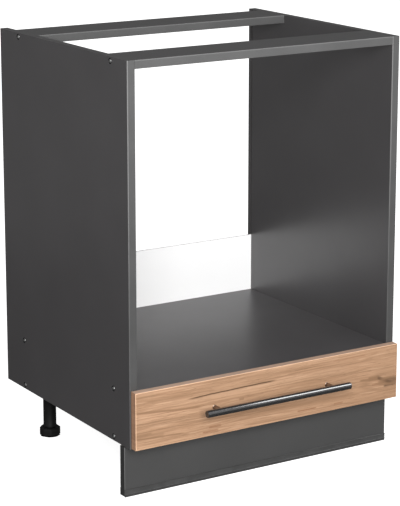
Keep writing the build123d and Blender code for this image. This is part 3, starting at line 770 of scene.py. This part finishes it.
def column(sides, radius, height, middle, turn=(0.0, 0.0, 0.0)):
    """A round or many-sided column, with its place and turn put in its mesh."""
    select_only()
    bpy.ops.mesh.primitive_cylinder_add(
        vertices=sides, radius=radius * MM, depth=height * MM, location=Vector(middle) * MM, rotation=turn
    )
    bpy.ops.object.transform_apply(location=True, rotation=True, scale=True)
    return bpy.context.object


def slot_cutter(place, radius, direction):
    """A cutter for a slot through sheet metal: a round hole that is stretched along Y."""
    depth, stretch = 6.0, 5.0
    cutter = column(20, radius, depth, place, Vector(direction).to_track_quat("Z", "Y").to_euler())
    open_mesh(cutter)
    pick(cutter, "VERT", lambda point, direction: point.y > place[1])
    bpy.ops.transform.translate(value=(0.0, stretch * MM, 0.0))
    close_mesh()
    return cutter


def box_cutter(low, high):
    """A cutter between two corners."""
    select_only()
    middle = (Vector(low) + Vector(high)) / 2 * MM
    bpy.ops.mesh.primitive_cube_add(size=1.0, location=middle, scale=(Vector(high) - Vector(low)) * MM)
    bpy.ops.object.transform_apply(location=True, rotation=True, scale=True)
    return bpy.context.object


def hexagon_key(flats, depth, top):
    """A six-sided cutter for a socket that goes down from a height."""
    return column(6, flats / 2 / math.cos(math.pi / 6), 2 * depth, (0.0, 0.0, top))


def cross_key(length, width, depth, top):
    """A cutter for a cross recess that narrows downwards, as a driver's tip does."""
    bars = []
    for across, along in ((length, width), (width, length)):
        bar = box_cutter((-across / 2, -along / 2, top - depth), (across / 2, along / 2, top + depth))
        open_mesh(bar)
        pick(bar, "FACE", lambda middle, direction: direction.z < -0.9)
        bpy.ops.transform.resize(value=(0.45, 0.45, 1.0))
        close_mesh()
        bars.append(bar)
    return cut(bars[0], bars[1], "UNION")


def towards(place, direction):
    """Where a piece goes that is made on the Z axis: its top faces a direction, at a place."""
    turn = Vector(direction).to_track_quat("Z", "Y").to_matrix().to_4x4()
    return Matrix.Translation(Vector(place) * MM) @ turn


def set_out(master, name, placings):
    """One piece from a copy of the master at every placing; the master goes."""
    copies = []
    for placing in placings:
        mesh = master.data.copy()
        mesh.transform(placing)
        if placing.determinant() < 0:
            mesh.flip_normals()
        copy = bpy.data.objects.new(name, mesh)
        bpy.context.collection.objects.link(copy)
        copies.append(copy)
    bpy.data.objects.remove(master)
    return joined(name, copies)


def facing_sides(places, inwards=False):
    """Placings on both sides of the middle, with their tops outwards or inwards."""
    sign = -1 if inwards else 1
    placings = []
    for x, y, z in places:
        placings.append(towards((x, y, z), (sign, 0, 0)))
        placings.append(towards((-x, y, z), (-sign, 0, 0)))
    return placings


def on_both_sides(places, direction):
    """Placings on both sides of the middle, with their tops all in one direction."""
    return [towards((side * x, y, z), direction) for x, y, z in places for side in (1, -1)]


MIRROR = Matrix.Scale(-1.0, 4, (1.0, 0.0, 0.0))


def stand_for(piece, node):
    """The finished piece takes the place of a CAD node, on its body and in its finish."""
    piece.name = node + "_shaped"
    wear(piece, node)
    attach(piece, nodes[node]["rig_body"])
    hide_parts(node)


def stand_on_sides(right_piece, stem):
    """A right-hand piece and its mirror image take the places of the right and left nodes."""
    stand_for(set_out(duplicate(right_piece), stem, [MIRROR]), stem + "_left")
    stand_for(right_piece, stem + "_right")


def second_finish(piece, material, wanted):
    """Gives a piece another finish on the faces that a test on their middle (mm) picks out."""
    piece.data.materials.append(material)
    for face in piece.data.polygons:
        if wanted(face.center / MM):
            face.material_index = 1


def duplicate(piece):
    copy = bpy.data.objects.new(piece.name, piece.data.copy())
    bpy.context.collection.objects.link(copy)
    return copy


# Fasteners: each is made on the XY plane with its shank pointing down, and then set out in its places

def screw(name, profile, steps, recess, ridge):
    """A turned body with a thread round its shank, and a recess for the driver if there is one."""
    body = turned(name, profile, steps)
    if recess:
        cut(body, recess)
    return joined(name, [body, thread(*ridge)])


def carcass_screw():
    """Low round head with a hexagon socket in a flush countersink whose black is painted shade, on a neck
    and a coarse thread.
    """
    profile = [
        (0, -50), (0.6, -49.4), (2.2, -46.5), (2.2, -17), (3.5, -16), (3.5, -2.3), (5.65, -0.18),
        (5.6, -0.02), (5.3, -0.05), (4.3, -1.3), (3.8, -1.35), (3.65, -0.8), (3.3, -0.3), (2.6, -0.04),
        (0, 0),
    ]
    return screw("carcass_screw", profile, 36, hexagon_key(3.0, 1.6, 0.0), (2.1, 3.0, 2.9, -46.0, 9, 14))


def wood_screw():
    """Round head with a cross recess and a fine thread down to its point."""
    profile = [
        (0, -15), (1.2, -12.4), (1.2, 0), (3.5, 0), (3.45, 0.5), (3.1, 1.2), (2.3, 1.75), (1.2, 1.95),
        (0, 2),
    ]
    return screw("wood_screw", profile, 20, cross_key(3.6, 0.8, 1.2, 2.0), (1.15, 1.75, 1.5, -12.6, 7, 10))


def runner_screw():
    """Short screw with a flat countersunk head, for the rows of holes in cabinet sides."""
    profile = [(0, -13), (2, -13), (2.5, -12.4), (2.5, -2), (3.1, -1.3), (4.25, -0.15), (4.15, 0), (0, 0)]
    return screw("runner_screw", profile, 24, cross_key(4.6, 0.9, 1.3, 0.0), (2.4, 3.1, 2.0, -12.3, 5, 12))


def handle_screw():
    """Machine screw with a wide pan head, from inside the drawer through the front into a handle post."""
    profile = [
        (0, -26), (1.5, -26), (1.75, -25.7), (1.75, 0), (4, 0), (4, 1.1), (3.6, 1.9), (2.7, 2.35),
        (0, 2.4),
    ]
    return screw("handle_screw", profile, 24, cross_key(4.2, 0.9, 1.4, 2.4), (1.65, 2.0, 0.9, -25.6, 26, 10))


def front_cam():
    """Cam housing: a drum with a rim, a cross recess and a small pointer that shows which way it turns."""
    profile = [
        (0, -12.5), (7.1, -12.5), (7.4, -12.2), (7.4, -10.8), (7, -10.5), (7, -2.2), (7.4, -1.9),
        (7.5, -0.3), (7.3, 0), (6.5, 0), (6.2, -0.5), (0, -0.6),
    ]
    drum = turned("front_cam", profile, 36)
    cut(drum, cross_key(7.0, 1.5, 2.6, -0.4))
    outline = [(-1.1, 4, -0.7), (1.1, 4, -0.7), (0, 5.9, -0.7)]
    pointer = drawn_solid("pointer", outline, (0.0, 0.0, 0.5))
    return joined("front_cam", [drum, pointer])


def cam_bolt():
    """Bolt that the cam pulls on: a round head on a thin neck, and a coarse thread in the drawer front."""
    profile = [
        (0, -35), (1.4, -35), (1.9, -34.2), (1.9, -24), (3, -23.6), (3, -8), (1.8, -7.2), (1.8, -3.4),
        (3, -2.6), (3, -0.8), (2.2, 0), (0, 0),
    ]
    return screw("cam_bolt", profile, 24, None, (1.8, 2.5, 1.8, -34.6, 5, 12))


def dowel():
    """Beech dowel with pointed ends and fine flutes that let the glue spread."""
    body = column(36, 4.0, 30.0, (0.0, 0.0, -15.0))
    open_mesh(body)

    def in_flute(point, direction):
        return round(math.degrees(math.atan2(point.y, point.x)) / 10.0) % 2 == 1

    pick(body, "VERT", in_flute)
    bpy.ops.transform.resize(value=(0.93, 0.93, 1.0))
    pick(body, "FACE", lambda middle, direction: abs(direction.z) > 0.9)
    bevel(1.1, 2)
    return finished(body, 20.0)


def felt_pad():
    """Soft disc that keeps the drawer front from knocking on the sides."""
    return turned("felt_pad", [(0, 0), (3.8, 0), (4, 0.3), (3.9, 1.2), (3.4, 1.6), (0, 1.7)], 28)


def roller_pin(name, collar_top):
    """Rivet through a runner, with a collar and a flattened head that holds the roller on."""
    roller_top = collar_top + 7.0
    profile = [
        (0.0, 0.0), (2.0, 0.0), (2.0, 1.2), (3.5, 1.2), (3.5, collar_top), (2.0, collar_top + 0.1),
        (2.0, roller_top), (3.2, roller_top), (3.1, roller_top + 0.5), (2.4, roller_top + 0.8),
        (0.0, roller_top + 0.8),
    ]
    return turned(name, profile, 24)


def cabinet_pin():
    return roller_pin("cabinet_pin", 2.3)


def drawer_pin():
    return roller_pin("drawer_pin", 3.1)


screw_lines = [(y, z) for y in SCREW_LINES for z in BOARD_LEVELS]
dowel_places = [(296.0, y, z) for y in DOWEL_LINES for z in BOARD_LEVELS]
leg_screw_places = [
    (LEG_X + across, leg_y + along, PLATE_BOTTOM)
    for leg_y in LEG_ROWS.values()
    for across in (-PLATE_SCREW, PLATE_SCREW)
    for along in (-PLATE_SCREW, PLATE_SCREW)
]
fasteners = {
    "carcass_screws": (carcass_screw, facing_sides([(HALF_WIDTH, y, z) for y, z in screw_lines])),
    "drawer_box_screws": (
        carcass_screw,
        facing_sides([(DRAWER_OUTSIDE_X, 217.0, z) for z in (155.0, 173.0)]),
    ),
    "back_panel_screws": (
        wood_screw,
        [towards((x, 266.9, z), BACK) for x in (-200.0, 0.0, 200.0) for z in BOARD_LEVELS[:2]],
    ),
    "leg_screws": (wood_screw, on_both_sides(leg_screw_places, DOWN)),
    "plinth_clip_screws": (
        wood_screw,
        on_both_sides([(LEG_X + across, -183.0, 52.0) for across in (-16.0, 16.0)], BACK),
    ),
    "drawer_runner_screws": (
        wood_screw,
        on_both_sides([(DRAWER_SIDE_X, y, 126.8) for y in (-178.0, 2.0, 182.0)], DOWN),
    ),
    "cabinet_runner_screws": (
        runner_screw,
        facing_sides([(282.8, y, 132.75) for y in (-186.0, 6.0, 166.0)], inwards=True),
    ),
    "handle_screws": (handle_screw, on_both_sides([(HANDLE_X, FRONT_BACK, HANDLE_LEVEL)], BACK)),
    "front_cams": (front_cam, facing_sides([(255.5, -201, 155)], inwards=True)),
    "front_cam_bolts": (cam_bolt, on_both_sides([(DRAWER_SIDE_X, -201.0, 155.0)], BACK)),
    "front_dowels": (dowel, on_both_sides([(DRAWER_SIDE_X, -207.0, 172.0)], BACK)),
    "carcass_dowels": (dowel, facing_sides(dowel_places)),
    "front_pads": (felt_pad, on_both_sides([(292.0, FRONT_BACK, z) for z in (112.0, 202.0)], BACK)),
    "cabinet_roller_pins": (cabinet_pin, facing_sides([(RUNNER_WEB_X, *CABINET_ROLLER)], inwards=True)),
    "drawer_roller_pins": (drawer_pin, facing_sides([(DRAWER_OUTSIDE_X, *DRAWER_ROLLER)])),
}
for node, (make, placings) in fasteners.items():
    group = set_out(make(), node, placings)
    stand_for(group, node)
    if node == "carcass_screws":
        # Only the low round heads are bright. The countersinks round them are black: painted shade in place
        # of the shadow in each recess.
        head_reach = 3.9
        second_finish(
            group,
            painted_countersink_shade("painted_countersink_shade"),
            lambda middle: min(math.hypot(middle.y - y, middle.z - z) for y, z in screw_lines) > head_reach,
        )


# Handle

def handle_bar():
    """Round bar along X, with a turned chamfer and a dished face at each end."""
    half = [(0, 162.6), (4.8, 162.6), (5.2, 163), (6, 163), (7, 162), (7, 120), (7, 40)]
    bar = turned("handle_bar", half + [(radius, -height) for radius, height in reversed(half)], 64)
    return set_out(bar, "handle_bar", [towards((0.0, BAR_Y, HANDLE_LEVEL), TO_RIGHT)])


def handle_post():
    """Turned post with a small foot on the drawer front; its far end sits in the bar."""
    profile = [
        (0, 0), (4.5, 0), (4.7, 0.3), (4.6, 0.8), (4.1, 1.2), (4, 1.8), (4, 20.2), (3.85, 20.5),
        (3.85, 21.2), (4, 21.5), (4, 23.2), (0, 23.2),
    ]
    return turned("handle_post", profile, 48)


stand_for(handle_bar(), "handle_bar")
for side, sign in SIDES.items():
    place = (sign * HANDLE_X, FRONT_FACE, HANDLE_LEVEL)
    stand_for(set_out(handle_post(), "handle_post", [towards(place, TO_FRONT)]), "handle_post_" + side)


# Legs

def leg_plate():
    """Square plate with a collar for the leg, eight ribs and a ring round each screw."""
    corners = [(-30, -30), (30, -30), (30, 30), (-30, 30)]
    plate = drawn_solid("leg_plate", [(x, y, PLATE_BOTTOM) for x, y in corners], (0.0, 0.0, 3.0), 6.0)
    section = [(13.25, 97.5), (13.25, 88.6), (13.6, 88), (15.4, 88), (16, 88.6), (16, 97.5), (13.25, 97.5)]
    pieces = [eased(plate, 0.5), turned("collar", section, 48)]
    for step in range(8):
        reach = 28.0 if step % 2 == 0 else 26.5
        slope = [(15.6, -0.8, 97.3), (15.6, -0.8, 90.5), (reach, -0.8, 96.2), (reach, -0.8, 97.3)]
        rib = drawn_solid("rib", slope, (0.0, 1.6, 0.0))
        pieces.append(set_out(rib, "rib", [Matrix.Rotation(math.radians(45.0 * step), 4, "Z")]))
    rim = [(3.7, 97.2), (3.7, 96.5), (4, 96.2), (5, 96.2), (5.4, 96.6), (5.4, 97.2), (3.7, 97.2)]
    for x in (-PLATE_SCREW, PLATE_SCREW):
        for y in (-PLATE_SCREW, PLATE_SCREW):
            place = Matrix.Translation(Vector((x, y, 0.0)) * MM)
            pieces.append(set_out(turned("ring", rim, 24), "ring", [place]))
    return joined("leg_plate", pieces)


def leg_tube():
    """Plastic tube with a slightly thicker rim at each end."""
    profile = [
        (9.2, 97), (9.2, 19), (9.7, 18.3), (12.5, 18.3), (13.2, 19), (13.2, 22.2), (13.1, 22.5),
        (13.1, 86.2), (13.2, 86.5), (13.2, 96.4), (12.6, 97), (9.2, 97),
    ]
    return turned("leg_tube", profile, 56)


def leg_foot():
    """Eight-sided foot to turn by hand: a low rim round a dished top, and a coarse threaded stem."""
    half_flats = 19.5
    half_side = math.pi / 8
    radius = half_flats / math.cos(half_side)
    base = column(8, radius, 16.0, (0.0, 0.0, 8.0), (0.0, 0.0, half_side))
    open_mesh(base)
    pick(base, "EDGE", lambda middle, direction: abs(direction.z) > 0.9)
    bevel(1.45, 4)
    pick(base, "EDGE", lambda middle, direction: middle.z < 0.1)
    bevel(3.0, 5)
    pick(base, "FACE", lambda middle, direction: direction.z > 0.9)
    draw_out((0.0, 0.0, 2.0))
    bpy.ops.transform.resize(value=(0.86, 0.86, 1.0))
    bpy.ops.mesh.inset(thickness=0.8 * MM)
    bpy.ops.mesh.inset(thickness=1.2 * MM, depth=-2.2 * MM)
    pick(base, "FACE", lambda middle, direction: direction.z < -0.999)
    bpy.ops.mesh.inset(thickness=3.0 * MM)
    bpy.ops.mesh.inset(thickness=0.6 * MM, depth=-1.0 * MM)
    close_mesh()
    eased(base, 0.5, 3)
    core = [(0, 12), (7.6, 12), (7.6, 73), (6.8, 74), (5, 74), (4.6, 73.4), (0, 73.4)]
    stem = turned("stem", core, 36)
    coil = thread(7.5, 9.0, 4.0, 17.8, 13, 32)
    return joined("leg_foot", [base, stem, coil])


for stem, make in (("leg_plate", leg_plate), ("leg_tube", leg_tube), ("leg_foot", leg_foot)):
    master = make()
    for row, leg_y in LEG_ROWS.items():
        for side, sign in SIDES.items():
            place = Matrix.Translation(Vector((sign * LEG_X, leg_y, 0.0)) * MM)
            node = f"{stem}_{row}_{side}"
            stand_for(set_out(duplicate(master), node, [place]), node)
    bpy.data.objects.remove(master)


# Plinth

def plinth_seal():
    """Soft strip that grips the plinth's lower edge, with two small beads in front and two lips below."""
    outline = [
        (-202, 15), (-202, 2), (-186, 2), (-186, 15), (-185.2, 15), (-184.45, 14.4), (-184.45, 13.5),
        (-184.9, 12.9), (-184.9, 2.8), (-184.6, 1.5), (-184.45, 0.6), (-185.2, 0.6), (-185.9, 1.3),
        (-202, 1.3), (-202.7, 0.6), (-203.5, 0.6), (-203.4, 1.6), (-203.05, 2.8), (-203.1, 4.1),
        (-203.55, 4.5), (-203.55, 5.4), (-203.1, 5.9), (-203.1, 12.8), (-203.55, 13.4), (-203.55, 14.4),
        (-202.9, 15),
    ]
    start = [(-HALF_WIDTH, y, z) for y, z in outline]
    return drawn_solid("plinth_seal", start, (2 * HALF_WIDTH, 0.0, 0.0))


def plinth_clip():
    """Clip behind the plinth board: a plate with two stiffeners, a neck and an open ring on the leg."""
    leg = (LEG_X, LEG_ROWS["front"])
    bottom, height = 42.0, 20.0
    outside = arc(leg, 16.25, 128.0, 412.0, 40)
    inside = arc(leg, 13.25, 401.0, 139.0, 36)
    ring = [(x, y, bottom) for x, y in outside + inside]
    pieces = [drawn_solid("ring", ring, (0.0, 0.0, height))]
    corners = [(232.0, 0.0), (278.0, 0.0), (278.0, height), (232.0, height)]
    plate = [(x, -186.0, bottom + up) for x, up in corners]
    pieces.append(drawn_solid("plate", plate, (0.0, 3.0, 0.0), 2.5))
    neck = [(249, -163.6), (249, -178), (244.5, -183.2), (265.5, -183.2), (261, -178), (261, -163.6)]
    pieces.append(drawn_solid("neck", [(x, y, 44.0) for x, y in neck], (0.0, 0.0, 16.0)))
    for low in (42.6, 59.6):
        stiffener = [(234, -183.2), (276, -183.2), (274.5, -181.4), (235.5, -181.4)]
        pieces.append(drawn_solid("stiffener", [(x, y, low) for x, y in stiffener], (0.0, 0.0, 1.8)))
    return joined("plinth_clip", [eased(piece, 0.35) for piece in pieces])


stand_for(plinth_seal(), "plinth_seal")
stand_on_sides(plinth_clip(), "plinth_clip")


# Drawer runners

def roller(name):
    """Plastic roller whose hub and rim stand out from its web on both sides."""
    profile = [
        (2.07, 0), (4.5, 0), (4.6, 0.9), (7.6, 0.9), (7.8, 0), (9.1, 0), (9.5, 0.5), (9.5, 5.8),
        (9.1, 6.3), (7.8, 6.3), (7.6, 5.4), (4.6, 5.4), (4.5, 6.3), (2.07, 6.3), (2.07, 0),
    ]
    return turned(name, profile, 56)


def cabinet_runner():
    """Fixed channel on the cabinet's right side: bent steel with slots, a lip and a stop tab."""
    outline = [
        (275.5, 143), (275.5, 144.2), (284, 144.2), (284, 122), (273.4, 122), (273.4, 125.2),
        (274.4, 125.2), (274.4, 123.2), (282.8, 123.2), (282.8, 143),
    ]
    outer = [(284, 144.2), (284, 122), (273.4, 122)]
    inner = [(282.8, 143), (282.8, 123.2), (274.4, 123.2)]
    channel = bent_sheet("cabinet_runner", outline, -220.0, 230.0, outer, inner)
    cut(channel, box_cutter((270.0, -221.0, 140.0), (282.78, -196.0, 146.0)))
    for y in (-160.0, -122.0, -58.0, 38.0, 102.0, 198.0):
        cut(channel, slot_cutter((283.4, y, 132.75), 2.6, TO_RIGHT))
    tongue = [
        (-129.45, 143.2), (-129.45, 139.6), (-129.9, 139), (-130.9, 139), (-131.5, 142), (-134.4, 143.2),
    ]
    tab = drawn_solid("stop_tab", [(275.8, y, z) for y, z in tongue], (6.8, 0.0, 0.0))
    return joined("cabinet_runner", [channel, tab])


def drawer_runner():
    """Runner under the drawer's right side: bent steel with slotted holes in its shelf."""
    outline = [
        (282, 145.05), (282, 146.25), (271.5, 146.25), (271.5, 128), (258, 128), (258, 126.8),
        (272.7, 126.8), (272.7, 145.05),
    ]
    rail = bent_sheet(
        "drawer_runner",
        outline,
        -224.0,
        225.0,
        [(271.5, 146.25), (272.7, 126.8)],
        [(272.7, 145.05), (271.5, 128)],
    )
    for y in (-150.0, -60.0, 60.0, 130.0):
        cut(rail, slot_cutter((265.0, y, 127.4), 2.3, UP))
    return rail


for node, (y, z) in (("cabinet_roller", CABINET_ROLLER), ("drawer_roller", DRAWER_ROLLER)):
    for side, sign in SIDES.items():
        wheel = set_out(roller(node), node, [towards((sign * ROLLER_X, y, z), (sign, 0, 0))])
        stand_for(wheel, f"{node}_{side}")
stand_on_sides(cabinet_runner(), "cabinet_runner")
stand_on_sides(drawer_runner(), "drawer_runner")


# Floor, light and camera, in metres

WHITE = (1.0, 1.0, 1.0, 1.0)
CAMERA_PLACE = (-1.9999, -3.2003, 1.3432)
CAMERA_TURN = -31.868
CAMERA_TILT = 12.789
FOCAL_PIXELS = 1971.3
FRAME_PIXELS = 506.0  # the photo's longer side
SENSOR = 36.0
LENS_SHIFT = -0.1


def seen_directly(tree):
    """1 for rays from the camera, a mirror or glass, and 0 for those that only carry light."""
    rays = tree.nodes.new("ShaderNodeLightPath")
    share = rays.outputs["Is Camera Ray"]
    for name in ("Is Glossy Ray", "Is Transmission Ray"):
        more = tree.nodes.new("ShaderNodeMath")
        more.operation = "MAXIMUM"
        tree.links.new(share, more.inputs[0])
        tree.links.new(rays.outputs[name], more.inputs[1])
        share = more.outputs[0]
    return share


def make_floor():
    """A pale floor that shows white far off and keeps a faint shadow under the cabinet."""
    select_only()
    bpy.ops.mesh.primitive_plane_add(size=60.0, location=(0.0, 0.0, -0.0005))
    floor = bpy.context.object
    floor.name = "floor"
    finish = Finish("pale_floor", 0.9, 0.0)
    cloud = finish.grain(0.6, 2.0)
    finish.colour(finish.cloudy(cloud, grey(0.9), grey(0.89)))
    finish.shader.inputs["Emission Color"].default_value = WHITE
    place = finish.node("VectorMath", {0: finish.object_place}, operation="LENGTH").outputs["Value"]
    glow = finish.times(seen_directly(finish.tree), finish.fade(place, 0.75, 2.0, 0.87, 1.0))
    finish.tree.links.new(glow, finish.shader.inputs["Emission Strength"])
    floor.data.materials.append(finish.material)


def make_world():
    """An even studio: white where it is seen, also in a mirror, and softer as a light."""
    world = bpy.data.worlds.new("studio")
    bpy.context.scene.world = world
    world.use_nodes = True
    tree = world.node_tree
    light = tree.nodes["Background"]
    seen = tree.nodes.new("ShaderNodeBackground")
    for background, strength in ((light, 0.36), (seen, 1.0)):
        background.inputs["Strength"].default_value = strength
        background.inputs["Color"].default_value = WHITE
    mix = tree.nodes.new("ShaderNodeMixShader")
    tree.links.new(seen_directly(tree), mix.inputs[0])
    tree.links.new(light.outputs[0], mix.inputs[1])
    tree.links.new(seen.outputs[0], mix.inputs[2])
    tree.links.new(mix.outputs[0], tree.nodes["World Output"].inputs["Surface"])


def soft_box(name, place, target, width, height, power):
    """A rectangular studio lamp that faces its target."""
    select_only()
    bpy.ops.object.light_add(type="AREA", location=place)
    lamp = bpy.context.object
    lamp.name = name
    lamp.data.shape = "RECTANGLE"
    lamp.data.size = width
    lamp.data.size_y = height
    lamp.data.energy = power
    lamp.rotation_euler = (Vector(target) - Vector(place)).to_track_quat("-Z", "Y").to_euler()


def make_camera():
    """The photo's view, from the left and a little above."""
    select_only()
    bpy.ops.object.camera_add(
        location=CAMERA_PLACE,
        rotation=(math.radians(90.0 - CAMERA_TILT), 0.0, math.radians(CAMERA_TURN)),
    )
    camera = bpy.context.object
    camera.name = "camera"
    camera.data.sensor_width = SENSOR
    camera.data.lens = SENSOR * FOCAL_PIXELS / FRAME_PIXELS
    camera.data.shift_y = LENS_SHIFT
    camera.data.clip_end = 100.0
    bpy.context.scene.camera = camera


def mirror_card(name, place, turn, width, height, strength):
    """A card seen only in mirrors: dark ones give dark faces depth, a bright one draws the bar's streak."""
    select_only()
    rotation = [math.radians(angle) for angle in turn]
    bpy.ops.mesh.primitive_plane_add(size=1.0, location=place, rotation=rotation)
    card = bpy.context.object
    card.name = name
    card.scale = (width, height, 1.0)
    material = bpy.data.materials.new(name)
    material.use_nodes = True
    shader = material.node_tree.nodes["Principled BSDF"]
    shader.inputs["Base Color"].default_value = (0.0, 0.0, 0.0, 1.0)
    shader.inputs["Specular IOR Level"].default_value = 0.0
    shader.inputs["Emission Color"].default_value = WHITE
    shader.inputs["Emission Strength"].default_value = strength
    card.data.materials.append(material)
    card.visible_camera = False
    card.visible_diffuse = False
    card.visible_shadow = False
    card.visible_transmission = False


make_floor()
make_world()
mirror_card("dark_card_behind", (0.0, 1.6, 1.4), (90.0, 0.0, 0.0), 7.0, 2.9, 0.17)
mirror_card("dark_card_below", (0.0, -1.4, -0.0002), (0.0, 0.0, 0.0), 7.0, 6.0, 0.06)
mirror_card("dark_card_above", (0.0, 0.35, 2.86), (0.0, 0.0, 0.0), 7.0, 2.5, 0.1)
mirror_card("strip_card", (1.65, -1.42, 1.93), (33.0, 0.0, 0.0), 0.8, 1.2, 11.0)
soft_box("key", (-1.35, -3.3, 1.6), (0.0, 0.0, 0.45), 2.4, 1.8, 178.0)
make_camera()
bpy.context.scene.view_settings.view_transform = "Standard"
